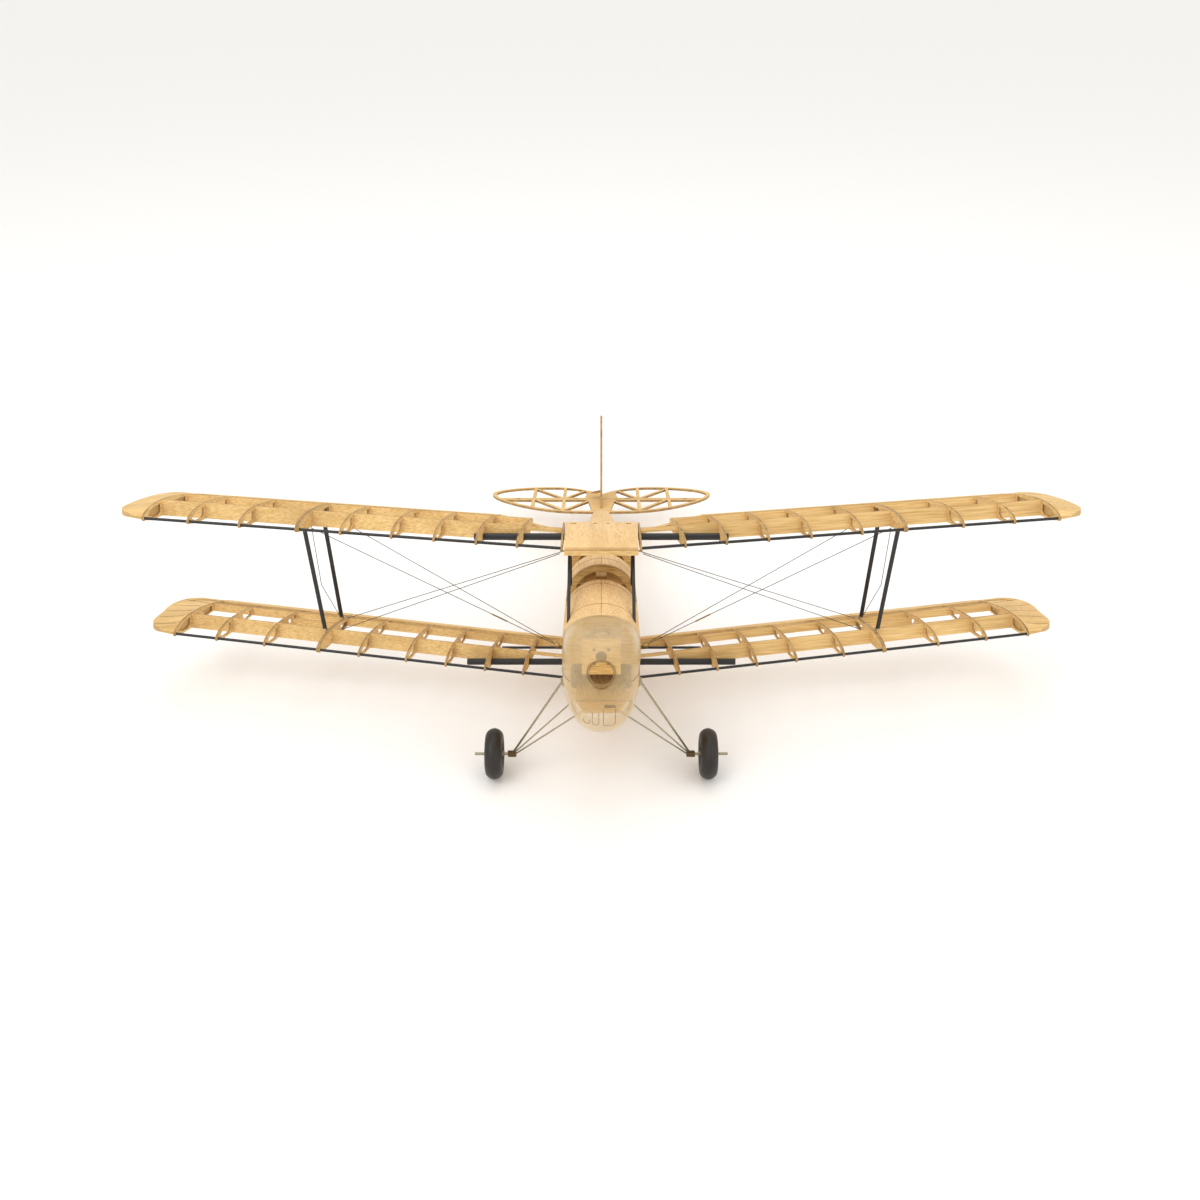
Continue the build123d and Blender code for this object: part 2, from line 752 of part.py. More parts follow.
def cowl():
    """Vacuum-formed shell from the firewall to the open nose ring."""
    rows = [
        (nose_y, 37.0, -50.2, -156.0, 2.7),
        (-80.0, 36.9, -51.6, -158.5, 2.7),
        (-100.0, 35.2, -53.6, -151.5, 2.8),
        (-120.0, 30.3, -56.8, -137.0, 2.5),
        (-137.0, 21.5, -59.5, -111.0, 2.1),
        (ring_y, ring_outer_r, thrust_z + ring_outer_r, thrust_z - ring_outer_r, 2.0),
    ]
    outer = loft([cowl_section(y, half, top, low, n) for y, half, top, low, n in rows])
    t = cowl_wall
    inner_rows = [(y, half - t, top - t, low + t, n) for y, half, top, low, n in rows]
    inner_rows[0] = (nose_y + 0.1,) + inner_rows[0][1:]
    inner_rows[-1] = (ring_y - 0.5,) + inner_rows[-1][1:]
    inner = loft([cowl_section(*row) for row in inner_rows])
    shell = outer - inner
    lip = Pos(0, ring_y + 0.8, thrust_z) * Rot(90, 0, 0) * Cylinder(ring_outer_r - cowl_wall / 2, 1.2)
    lip = lip - Pos(0, ring_y, thrust_z) * Rot(90, 0, 0) * Cylinder(ring_inner_r, 8)
    return shell + lip


# ---------------------------------------------------------------- centre section
centre_half = 36.2
centre_front_y = -2.0
centre_back_y = 81.0
centre_low_z = -9.0


def centre_face(inset):
    """Side view of the tank section: aerofoil top, flat bottom, blunt front."""
    slope = math.sin(math.radians(incidence))
    steps = [2.0 + 78.0 * k / 8 for k in range(9)]
    top = [(v, top_at(v) + 1.2 - v * slope - inset) for v in steps]
    front, back = centre_front_y + inset, steps[-1] - inset
    top[-1] = (back, top[-1][1])
    low = centre_low_z + inset
    low_front = -4.0 + inset
    edges = [
        Spline(*top),
        Line(top[-1], (back, low)),
        Line((back, low), (8.0, low)),
        Line((8.0, low), (front, low_front)),
        Line((front, low_front), (front, top[0][1] - 3.2)),
        Line((front, top[0][1] - 3.2), top[0]),
    ]
    return make_face([Plane.YZ * edge for edge in edges])


def centre_section():
    """Skin (top, front and bottom sheets as one wrap) and the ribs inside it."""
    outer = extrude(centre_face(0.0), centre_half, both=True)
    inner = extrude(centre_face(1.5), centre_half + 1, both=True)
    skin = outer - inner
    rib_faces = extrude(centre_face(1.55), 1.0, both=True)
    ribs = [Pos(x, 0, 0) * rib_faces for x in (-centre_half + 1.0, -11.0, 11.0, centre_half - 1.0)]
    cuts = [rod(*joiner_axis(True), joiner_d + 2 * slot_play)]
    ribs = [rib - cuts[0] for rib in ribs]
    windows = box(-50, 50, 52, 68, -5, 3)
    ribs = [ribs[0], ribs[1] - windows, ribs[2] - windows, ribs[3]]
    return skin, group(ribs)


def centre_lip():
    """Square strip across the front of the centre section."""
    return box(-centre_half, centre_half, centre_front_y - 3.6, centre_front_y, -6.4, -1.6)


# ---------------------------------------------------------------- tail
def tail_outline(y_from, y_to, rim):
    """Plan outline of the tailplane and elevator, a pointed oval drawn in by rim and cut to a band."""
    def inner(x, y):
        return x * (1 - rim / 156.5), tail_hinge_y + (y - tail_hinge_y) * (1 - rim / 78.0)

    front = [(0, 473.0), (13.0, 474.5), (52.0, 479.0), (92.0, 498.0), (125.0, 527.0), (154.5, 575.0), (156.5, 588.0)]
    back = [(156.5, 588.0), (150.0, 603.0), (128.0, 619.0), (99.0, 627.5), (57.0, 628.0), (26.0, 612.0), (0.0, 582.0)]
    front, back = [inner(*p) for p in front], [inner(*p) for p in back]
    half = make_face([Spline(*front), Spline(*back), Line(back[-1], front[0])])
    band = Pos(0, (y_from + y_to) / 2) * Rectangle(400, y_to - y_from - 2 * rim)
    return (half + mirror(half, Plane.YZ)) & band


def tail_bar(a, b, width):
    a, b = Vector(*a), Vector(*b)
    mid = (a + b) * 0.5
    run = b - a
    return Pos(mid.X, mid.Y) * Rot(0, 0, math.degrees(math.atan2(run.Y, run.X))) * Rectangle(run.length, width)


def slab(face):
    return extrude(Pos(0, 0, tail_z) * face, tail_thick / 2, both=True)


def lattice(y_from, y_to, bars, plate_face, rim):
    """A laser-cut frame: rim, bars and solid centre within the tail's outline."""
    whole = slab(tail_outline(y_from, y_to, 0.0))
    frame = whole - slab(tail_outline(y_from, y_to, rim))
    for a, b, width in bars:
        for side in (1, -1):
            frame = frame + (slab(tail_bar((side * a[0], a[1]), (side * b[0], b[1]), width)) & whole)
    return frame + (slab(plate_face) & whole)


def tailplane():
    bars = [
        ((14, 549), (50, 489), 4.5),
        ((53, 489), (93, 551), 4.5),
        ((52.5, 480), (52.5, 552), 4.5),
        ((95.5, 500), (95.5, 552), 4.5),
    ]
    centre = make_face(Polyline((-20, 473), (20, 473), (13, 490), (20, 552), (-20, 552), (-13, 490), close=True))
    return lattice(460, tail_hinge_y - hinge_gap / 2, bars, centre, 6.0)


def elevator():
    bars = [
        ((95.5, 556), (95.5, 624), 4.5),
        ((52.5, 556), (52.5, 626), 4.5),
        ((93, 616), (55, 560), 4.5),
        ((50, 560), (24, 605), 4.5),
    ]
    centre = make_face(Polyline((-24, 554), (24, 554), (20, 590), (26, 612), (-26, 612), (-20, 590), close=True))
    plate_solid = lattice(tail_hinge_y + hinge_gap / 2, 640, bars, centre, 6.0)
    for x in elevator_hinges:
        plate_solid = plate_solid - box(x - 2.8, x + 2.8, tail_hinge_y - 2, tail_hinge_y + 4, tail_z - 4, tail_z + 4)
    return plate_solid


elevator_hinges = [-118.0, -36.0, 36.0, 118.0]


def fin():
    """Fixed fin: a thin sheet with a curved front edge, standing on the tailplane."""
    base = tail_z + tail_thick / 2
    back = rudder_hinge_y - hinge_gap / 2
    edge = Spline((494.0, base), (508.0, base + 34.0), (529.0, base + 70.0), (back, base + 92.0))
    face = make_face([edge, Line((back, base + 92.0), (back, base)), Line((back, base), (494.0, base))])
    window = make_face(Polyline((521, base + 8), (546, base + 8), (546, base + 72), (530, base + 52), close=True))
    return extrude(Plane.YZ * (face - fillet(window.vertices(), 3.0)), tail_thick / 2, both=True)


def rudder_face():
    base = tail_z + tail_thick / 2 + 3.0
    front = rudder_hinge_y + hinge_gap / 2
    top = base + 90.5
    outline = Spline((front - 12.0, top + 1.5), (front - 6.0, top + 18.0), (front + 14.0, 35.5), (front + 40.0, 30.0),
                     (632.0, 2.0), (637.0, -28.0), (624.0, -54.0), (598.0, base + 19.0))
    face = make_face([
        outline,
        Line((598.0, base + 19.0), (front, base)),
        Line((front, base), (front, top)),
        Line((front, top), (front - 12.0, top + 1.5)),
    ])
    return face, base, front


def rudder():
    """Balanced rudder: a rim with three ribs cut from thin sheet."""
    face, base, front = rudder_face()
    windows = [
        [(front + 7, base + 12), (front + 36, base + 24), (front + 60, -44), (front + 62, -32), (front + 7, -44)],
        [(front + 7, -38), (front + 66, -26), (front + 66, -4), (front + 7, -4)],
        [(front + 7, 2), (front + 64, 2), (front + 52, 16), (front + 34, 24), (front + 7, 26)],
    ]
    for points in windows:
        hole = make_face(Polyline(*points, close=True))
        face = face - fillet(hole.vertices(), 2.5)
    solid = extrude(Plane.YZ * face, tail_thick / 2, both=True)
    for z in rudder_hinges:
        solid = solid - box(-4, 4, rudder_hinge_y - 1, rudder_hinge_y + 4.4, z - 2.8, z + 2.8)
    return solid


rudder_hinges = [-66.0, -34.0, -2.0]


def tail_tabs():
    """Ply hinge tabs glued into the tailplane, the fin and the rear spars of the lower wings."""
    tabs = []
    for x in elevator_hinges:
        tab = box(x - tab_thick / 2, x + tab_thick / 2, tail_hinge_y - hinge_gap / 2, elevator_pin_y + 1.2,
                  tail_z - 1.5, tail_z + 1.5)
        tabs.append(tab - Pos(x, elevator_pin_y, tail_z) * Rot(0, 90, 0) * Cylinder(pin_d / 2 + pin_play, 10))
    for z in rudder_hinges:
        tab = box(-1.5, 1.5, rudder_hinge_y - hinge_gap / 2, rudder_pin_y + 1.2, z - tab_thick / 2, z + tab_thick / 2)
        tabs.append(tab - Pos(0, rudder_pin_y, z) * Cylinder(pin_d / 2 + pin_play, 10))
    return tabs


elevator_pin_y = tail_hinge_y + 1.8
rudder_pin_y = rudder_hinge_y + 1.8


def elevator_pins():
    return [Pos(x, elevator_pin_y, tail_z) * Rot(0, 90, 0) * Cylinder(pin_d / 2, 5.6) for x in elevator_hinges]


def rudder_pins():
    return [Pos(0, rudder_pin_y, z) * Cylinder(pin_d / 2, 5.6) for z in rudder_hinges]


# ---------------------------------------------------------------- control runs
arm_length = 12.0
tray_z = -96.0
tray_t = 2.0
battery_tray_z = -122.0
elevator_horn_x = 9.0
rudder_horn_z = -71.6


def trays():
    """The servo tray behind the cockpits and the battery tray through the firewall's slot."""
    back = former_ys[4]
    half = half_width(back) - sheet
    rear = box(-half, half, cockpit_2[1] + former_t, back, tray_z - tray_t, tray_z)
    for y in (208.0, 238.0):
        rear = rear - box(-6.1, 6.1, y - 11.6, y + 11.6, tray_z - 5, tray_z + 5)
    front = box(-24, 24, nose_y - 34, cockpit_1[0], battery_tray_z - tray_t, battery_tray_z)
    for y in (-20.0, 4.0):
        for x in (-14.0, 14.0):
            strap = Pos(x, y, battery_tray_z) * Rot(0, 0, 90) * extrude(SlotOverall(16, 3.5), 5, both=True)
            front = front - strap
    return group([rear, front])


def elevator_horn():
    """Horn hanging from the elevator, its hole the arm's length below the hinge pins."""
    low = tail_z - tail_thick / 2
    points = [(elevator_pin_y + 1.0, low), (elevator_pin_y + 14.0, low), (elevator_pin_y + 2.6, low - 13.0),
              (elevator_pin_y - 2.0, low - 13.0)]
    plane = Plane(origin=(elevator_horn_x, 0, 0), x_dir=(0, 1, 0), z_dir=(1, 0, 0))
    horn = plate(points, horn_thick, plane)
    return horn - Pos(elevator_horn_x, elevator_pin_y, tail_z - arm_length) * Rot(0, 90, 0) * Cylinder(0.75, 10)


def rudder_horn():
    """Horn on the rudder's starboard face, its hole the arm's length from the hinge pins."""
    side = -tail_thick / 2
    points = [(side, rudder_pin_y + 1.5), (side, rudder_pin_y + 15.0), (side - 12.6, rudder_pin_y + 2.4),
              (side - 12.6, rudder_pin_y - 2.2)]
    plane = Plane(origin=(0, 0, rudder_horn_z), x_dir=(1, 0, 0), z_dir=(0, 0, 1))
    horn = plate(points, horn_thick, plane)
    return horn - Pos(-arm_length, rudder_pin_y, rudder_horn_z) * Cylinder(0.75, 10)


# ---------------------------------------------------------------- undercarriage
axle_tip = (wheel_x, wheel_y, wheel_z)
clamp_x = 92.0
leg_wire = 1.8
stay_wire = 1.5
hub_bore = axle_d + 2 * running_play


def tyre():
    """Squared foam-filled tyre with rounded shoulders and a seat for the hub."""
    half = tyre_w / 2
    section = make_face([
        Spline((hub_r - 1.5, half - 4.2), (16.5, half - 0.5), (21.0, half - 0.8), (24.9, half - 4.4), (tyre_r, 0.0),
               (24.9, -half + 4.4), (21.0, -half + 0.8), (16.5, -half + 0.5), (hub_r - 1.5, -half + 4.2)),
        Line((hub_r - 1.5, -half + 4.2), (hub_r - 1.5, half - 4.2)),
    ])
    section = section & (Pos(50 + hub_r + 0.05, 0) * Rectangle(100, 60))
    ring = revolve(Plane.XY * section, Axis.Y)
    return Pos(*axle_tip) * Rot(0, 0, 90) * ring


def hub():
    """Turned hub: dished disc, rim and a long boss that runs on the axle."""
    rim = Cylinder(hub_r, 9.0) - Cylinder(hub_r - 1.6, 12.0)
    disc = Cylinder(hub_r, 2.0)
    boss = Cylinder(3.6, tyre_w - 4.0)
    body = rim + disc + boss - Cylinder(hub_bore / 2, 60)
    for k in range(5):
        angle = math.radians(72 * k)
        body = body - Pos(7.2 * math.cos(angle), 7.2 * math.sin(angle)) * Cylinder(1.8, 6)
    return Pos(*axle_tip) * Rot(0, 90, 0) * body


def axle():
    a = (axle_inner_x, wheel_y, wheel_z)
    b = (axle_outer_x, wheel_y, wheel_z)
    return rod(a, b, axle_d)


def collars():
    """Wheel collars on the axle, one each side of the boss."""
    rings = []
    boss = (tyre_w - 4.0) / 2 + 0.4
    for side in (-1, 1):
        x = wheel_x + side * (boss + collar_len / 2)
        ring = Pos(x, wheel_y, wheel_z) * Rot(0, 90, 0) * Cylinder(collar_d / 2, collar_len)
        rings.append(ring - axle())
    return rings


def gear_binding():
    """Bound wire joint where the legs lie against the inner end of the axle."""
    return [Pos(clamp_x, wheel_y, wheel_z) * Rot(0, 90, 0) * Cylinder(3.0, 8.4) - axle()]


leg_foot_z = -125.5


def leg_feet():
    """Upper ends of the four leg wires of one side, where they reach the nose section."""
    side = side_half + leg_wire / 2
    return [
        ((side, -36.2, leg_foot_z), (0.6, -1.1, 2.9), leg_wire),
        ((side, -33.8, leg_foot_z), (0.6, 1.3, 2.9), leg_wire),
        ((24.0, 10.0, belly_at(10.0)[2] - 1.6), (-1.6, 2.6, 2.0), stay_wire),
        ((14.0, -34.0, belly_at(-34.0)[2] - 1.6), (-1.0, -2.6, 1.0), stay_wire),
    ]


def gear_legs():
    """A doubled compression leg and the two wires of a vee to the belly."""
    foot = v3(clamp_x - 2.6, wheel_y, wheel_z)
    legs = []
    sleeve = Pos(clamp_x, wheel_y, wheel_z) * Rot(0, 90, 0) * Cylinder(3.0, 8.4)
    for top, shift, d in leg_feet():
        end = (foot.X + shift[0], foot.Y + shift[1], foot.Z + shift[2])
        legs.append(rod(end, top, d) - sleeve - belly_solid(True))
    return legs


def gear_clips():
    """Screwed saddles that hold the legs' upper ends against the nose section."""
    feet = leg_feet()
    saddle = box(side_half, side_half + 2.6, -38.6, -31.4, leg_foot_z - 3.0, leg_foot_z + 2.5)
    clips = [saddle]
    for top, shift, d in feet[2:]:
        clips.append(box(top[0] - 3, top[0] + 4, top[1] - 3, top[1] + 3, top[2] - 1.6, top[2] + 3.0))
    legs = gear_legs()
    cut_clips = []
    for clip in clips:
        clip = clip - belly_solid(True)
        for leg in legs:
            clip = clip - leg
        cut_clips.append(clip)
    return cut_clips


def tail_skid():
    """Sprung wire-shod ply skid under the stern."""
    y0, y1 = skid_y - 18, skid_y + 22
    top0, top1 = side_low(y0), side_low(y1)
    face = make_face([
        Line((y0, top0), (y1, top1)),
        Line((y1, top1), (skid_y + 26, -130.0)),
        ThreePointArc((skid_y + 26, -130.0), (skid_y + 19, skid_low), (skid_y + 10, -128.0)),
        Line((skid_y + 10, -128.0), (y0, top0)),
    ])
    return extrude(Plane.YZ * face, 1.5, both=True)


skid_low = -134.0


# ---------------------------------------------------------------- struts and wires
def wing_point(upper, u, v, w):
    return plane_of(upper).from_local_coords(v3(u, v, w))


strut_u = stations[strut_rib] + strut_rib_thick / 2 + strut_w / 2 + 0.2
foot_gap = 2.0
strut_vs = (front_spar_v - 6, rear_spar_v - 6)


def strut_ends(v):
    low = wing_point(False, strut_u, v, top_at(v) + foot_gap)
    high = wing_point(True, strut_u, v, low_at(v) - foot_gap)
    return low, high


def interplane_struts():
    return [bar(*strut_ends(v), strut_w, strut_t) for v in strut_vs]


def strut_tabs():
    """Metal end tabs of the interplane struts, let into the strut ribs' outboard faces."""
    tabs = []
    inner = stations[strut_rib] + strut_rib_thick / 2
    for v, strut in zip(strut_vs, interplane_struts()):
        for upper in (False, True):
            edge, sign = (low_at(v), -1) if upper else (top_at(v), 1)
            a, b = sorted((edge - sign * 6.0, edge + sign * foot_gap))
            c, d = sorted((edge + sign * (foot_gap - 0.8), edge + sign * foot_gap))
            tab = box(inner, inner + 1.2, v - 2.0, v + 2.0, a, b) + box(inner, inner + strut_w, v - 1.0, v + 1.0, c, d)
            tabs.append(plane_of(upper) * tab - strut)
    return tabs


def cabane_struts():
    """Two splayed pairs of black strips between the fuselage shoulders and the centre section."""
    over = 2.0
    front = bar((31.4, -49.0, -64.0), (31.4, 12.0 + over * 1.11, centre_low_z + over), cabane_w, strut_t)
    rear = bar((32.0, 62.0, -66.0), (31.4, 52.0 - over * 0.18, centre_low_z + over), cabane_w, strut_t)
    deck = deck_solid(nose_y, taper_y, 4)
    below = box(0, side_half, nose_y, taper_y, -200, side_top(taper_y))
    above = box(0, side_half, nose_y, taper_y, centre_low_z, 20)
    return [front - deck - below - above, rear - deck - below - above]


def deck_solid(y0, y1, steps):
    return loft([arch_face(y0 + (y1 - y0) * k / steps, 0.0) for k in range(steps + 1)])


wire_root = v3(side_half + 14.0, 90.0, -131.5)
eye_root = v3(side_half + 0.6, 96.0, -140.0)
root_bolt_z = -8.1
cabane_eye = v3(centre_half + 4.4, 17.0, root_bolt_z - 1.1)


def rigging_runs():
    """Straight flying, landing and incidence wires of one side, as end pairs."""
    front_high = wing_point(True, stations[strut_rib] - 3.0, front_spar_v - 6, low_at(37) - 0.6)
    rear_high = wing_point(True, stations[strut_rib] - 3.0, rear_spar_v - 6, low_at(99) - 0.6)
    front_low = wing_point(False, stations[strut_rib] - 3.2, front_spar_v + 5, top_at(48) - 5.0)
    rear_low = wing_point(False, stations[strut_rib] - 3.2, rear_spar_v - 6, top_at(99) + 0.8)
    knot = v3(297.0, 92.0, -66.0)
    strut_top = wing_point(True, strut_u, 58.0, low_at(58) - 0.6)
    strut_foot = wing_point(False, strut_u, rear_spar_v - 8.4, top_at(97) + 1.0)
    return [
        (front_high, wire_root),
        (rear_high, wire_root + v3(0.2, 1.2, 1.2)),
        (cabane_eye, rear_low),
        (cabane_eye + v3(0.6, -1.6, -1.2), front_low),
        (strut_top, knot),
        (knot, strut_foot),
    ]


def rigging_wires():
    return [rod(a, b, wire_d) for a, b in rigging_runs()]


def turnbuckles():
    """Turnbuckle barrel at each lower root, its end loop, and the mid-wire adjuster sleeve."""
    body_dir = (eye_root - wire_root).normalized()
    a = wire_root + body_dir * 7.0
    b = wire_root + body_dir * 13.5
    barrel = rod(a, b, 2.6) - rod(a, b, 0.9)
    stem = rod(b + body_dir * 0.05, eye_root, 1.0)
    loop = Plane(origin=wire_root + body_dir * 3.6, z_dir=(0, -1, 0.4)) * Torus(2.9, 0.35)
    run = rigging_runs()[0]
    along = (run[1] - run[0])
    c = run[0] + along * 0.735
    d = run[0] + along * 0.80
    sleeve = rod(c, d, 1.5) - rod(c, d, wire_d)
    return [barrel, stem - box(0, side_half + 0.6, 80, 110, -160, -120), loop, sleeve]


def root_eyes():
    """Bolt and washer under each end of the centre section, where the landing wires start."""
    x = centre_half + 0.1
    bolt = rod((x, 17.0, root_bolt_z), (x + 4.6, 17.0, root_bolt_z), 1.6)
    washer = rod((x + 2.6, 17.0, root_bolt_z), (x + 3.4, 17.0, root_bolt_z), 2.8)
    return [bolt + washer]


def lower_plates():
    """Thin fixing plate on the fuselage side that the turnbuckle's stem ends in."""
    plate_box = box(side_half, side_half + 0.6, 92.0, 100.0, -143.0, -137.0)
    return [plate_box]


# ---------------------------------------------------------------- stance
def stance():
    """Turns the flight frame nose-up until the tyres and the skid stand on one floor."""
    skid = (skid_y + 19.0, skid_low)
    run = skid[0] - wheel_y
    rise = skid[1] - wheel_z
    reach = math.hypot(run, rise)
    lean = math.atan2(rise, run) + math.asin(tyre_r / reach)
    turned_y = wheel_y * math.cos(lean) + wheel_z * math.sin(lean)
    turned_z = -wheel_y * math.sin(lean) + wheel_z * math.cos(lean)
    return math.degrees(lean), tyre_r - turned_z


lean_deg, lift = stance()
stand = Pos(0, 0, lift) * Rot(-lean_deg, 0, 0)


def wing_nodes(nodes):
    for upper, name in ((True, "upper"), (False, "lower")):
        plane = plane_of(upper)
        ribs = plane * panel_ribs(upper)
        nodes[f"{name}_left_ribs"] = ribs
        nodes[f"{name}_right_ribs"] = mirrored(ribs)
        nodes[f"{name}_front_spars"] = both_sides(plane * spars(upper, front_spar_v, True))
        nodes[f"{name}_rear_spars"] = both_sides(plane * spars(upper, rear_spar_v, False))
        nodes[f"{name}_trailing_edges"] = both_sides(plane * trailing_local(upper))
        nodes[f"{name}_wing_tips"] = both_sides(plane * wing_tip(upper))
        joiner = tube(*joiner_axis(upper), joiner_d, joiner_wall)
        nodes[f"{name}_joiner_tube"] = joiner
    nodes["leading_edge_rods"] = group([both_sides(leading_rod(True)), both_sides(leading_rod(False))])
    nodes["rear_joiner_rod"] = rod(*rear_joiner_axis(False), rear_joiner_d)
    nodes["servo_bay_frames"] = both_sides(lower_plane * servo_frames())


def aileron_nodes(nodes):
    frame = lower_plane * group([aileron_spar(), aileron_ribs()])
    edge = lower_plane * aileron_edge()
    fittings = lower_plane * group([hinge_fork(u) for u in hinge_us] + [aileron_horn()])
    for side, turn in (("left", lambda s: s), ("right", mirrored)):
        nodes[f"{side}_aileron_frame"] = turn(frame)
        nodes[f"{side}_aileron_trailing_edge"] = turn(edge)
        nodes[f"{side}_aileron_fittings"] = turn(fittings)


def fuselage_nodes(nodes):
    side = fuselage_side()
    nodes["fuselage_side_left"] = side
    nodes["fuselage_side_right"] = mirrored(side)
    nodes["fuselage_bottom"] = bottom_sheet()
    nodes["fuselage_formers"] = formers()
    nodes["firewall"] = firewall()
    nodes["front_deck"] = group([deck_between(nose_y, cockpit_1[0], 4), deck_between(cockpit_1[1], cockpit_2[0], 2)])
    nodes["rear_deck"] = deck_between(cockpit_2[1], deck_end_y, 6)
    nodes["motor_box"] = motor_box()
    nodes["motor_plate"] = motor_plate()
    nodes["cowl"] = cowl()
    nodes["equipment_trays"] = trays()


def centre_nodes(nodes):
    skin, ribs = centre_section()
    nodes["centre_section_skin"] = skin
    nodes["centre_section_ribs"] = ribs
    nodes["centre_section_lip"] = centre_lip()


def tail_nodes(nodes):
    nodes["tailplane"] = tailplane()
    nodes["elevator"] = elevator()
    nodes["fin"] = fin()
    nodes["rudder"] = rudder()
    nodes["elevator_fittings"] = group(elevator_pins() + [elevator_horn()])
    nodes["rudder_fittings"] = group(rudder_pins() + [rudder_horn()])
    wing_tabs = both_sides(lower_plane * group([hinge_tab(u) for u in hinge_us]))
    nodes["hinge_tabs"] = group(tail_tabs() + [wing_tabs])
    nodes["tail_skid"] = tail_skid()


def gear_nodes(nodes):
    wheel_tyre, wheel_hub = tyre(), hub()
    nodes["left_tyre"] = wheel_tyre
    nodes["right_tyre"] = mirrored(wheel_tyre)
    nodes["left_hub"] = wheel_hub
    nodes["right_hub"] = mirrored(wheel_hub)
    nodes["axles"] = both_sides(axle())
    nodes["wheel_collars"] = both_sides(group(collars()))
    nodes["gear_bindings"] = both_sides(group(gear_binding()))
    nodes["gear_legs"] = both_sides(group(gear_legs()))
    nodes["gear_clips"] = both_sides(group(gear_clips()))


def rigging_nodes(nodes):
    nodes["interplane_struts"] = both_sides(group(interplane_struts()))
    nodes["strut_tabs"] = both_sides(group(strut_tabs()))
    nodes["cabane_struts"] = both_sides(group(cabane_struts()))
    nodes["rigging_wires"] = both_sides(group(rigging_wires()))
    nodes["turnbuckles"] = both_sides(group(turnbuckles()))
    nodes["wire_fixings"] = both_sides(group(root_eyes() + lower_plates()))


all_nodes = {}
for build in (wing_nodes, aileron_nodes, fuselage_nodes, centre_nodes, tail_nodes, gear_nodes, rigging_nodes):
    build(all_nodes)
turned = {name: stand * shape for name, shape in all_nodes.items()}
boxes = [shape.bounding_box() for shape in turned.values()]
centre_y = (min(b.min.Y for b in boxes) + max(b.max.Y for b in boxes)) / 2
floor_z = min(b.min.Z for b in boxes)
for node_name, shape in turned.items():
    export_step(Pos(0, -centre_y, -floor_z) * shape, f"parts/{node_name}.step")
print(len(turned), "nodes, lean", round(lean_deg, 3), "lift", round(lift, 3), "centre", round(centre_y, 4))
print("floor", round(floor_z, 4), "wide", round(max(b.max.X for b in boxes), 3))
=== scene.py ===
import math

import bpy
from mathutils import Matrix, Vector


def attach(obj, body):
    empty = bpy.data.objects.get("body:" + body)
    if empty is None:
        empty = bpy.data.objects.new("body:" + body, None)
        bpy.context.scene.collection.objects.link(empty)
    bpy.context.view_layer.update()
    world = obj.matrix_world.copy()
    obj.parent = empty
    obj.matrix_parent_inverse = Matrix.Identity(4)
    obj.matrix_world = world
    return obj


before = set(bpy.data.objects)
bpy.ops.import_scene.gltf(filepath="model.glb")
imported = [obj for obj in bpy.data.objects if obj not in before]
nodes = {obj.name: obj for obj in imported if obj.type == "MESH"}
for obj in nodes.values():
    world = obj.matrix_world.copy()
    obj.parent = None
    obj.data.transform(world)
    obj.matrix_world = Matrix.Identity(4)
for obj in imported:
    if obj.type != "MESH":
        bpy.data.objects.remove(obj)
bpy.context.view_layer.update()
print("frame loaded:", len(nodes), "nodes")

# The airframe stands nose-up: the axes of its flying attitude, seen in the frame
stanceAngle = math.radians(12.303)
flightOrigin = Vector((0, -0.22877, 0.244185))
flightAxes = Matrix.Rotation(-stanceAngle, 3, "X")


def flightDirection(x, y, z):
    return flightAxes @ Vector((x, y, z))


# A point given in millimetres in the flying attitude, from the upper wing's leading edge
def flightPoint(x, y, z):
    return flightOrigin + flightDirection(x / 1000, y / 1000, z / 1000)


# A colour from sRGB hex to linear
def hexColour(text):
    channels = [int(text[k:k + 2], 16) / 255 for k in (0, 2, 4)]
    linear = [c / 12.92 if c <= 0.04045 else ((c + 0.055) / 1.055) ** 2.4 for c in channels]
    return (*linear, 1.0)


# A node with its settings and links; in0, in1 and so on stand for sockets by number
def addNode(tree, kind, settings=None, **inputs):
    node = tree.nodes.new(kind)
    for name, value in (settings or {}).items():
        setattr(node, name, value)
    for name, value in inputs.items():
        key = int(name[2:]) if name.startswith("in") and name[2:].isdigit() else name.replace("_", " ")
        socket = node.inputs[key]
        if isinstance(value, bpy.types.NodeSocket):
            tree.links.new(value, socket)
        else:
            socket.default_value = value
    return node


def newMaterial(name):
    material = bpy.data.materials.new(name)
    material.use_nodes = True
    tree = material.node_tree
    tree.nodes.clear()
    shader = tree.nodes.new("ShaderNodeBsdfPrincipled")
    output = tree.nodes.new("ShaderNodeOutputMaterial")
    tree.links.new(shader.outputs["BSDF"], output.inputs["Surface"])
    return material, tree, shader


def setRamp(node, stops):
    ramp = node.color_ramp
    while len(ramp.elements) > 1:
        ramp.elements.remove(ramp.elements[-1])
    ramp.elements[0].position = stops[0][0]
    ramp.elements[0].color = stops[0][1]
    for place, colour in stops[1:]:
        ramp.elements.new(place).color = colour


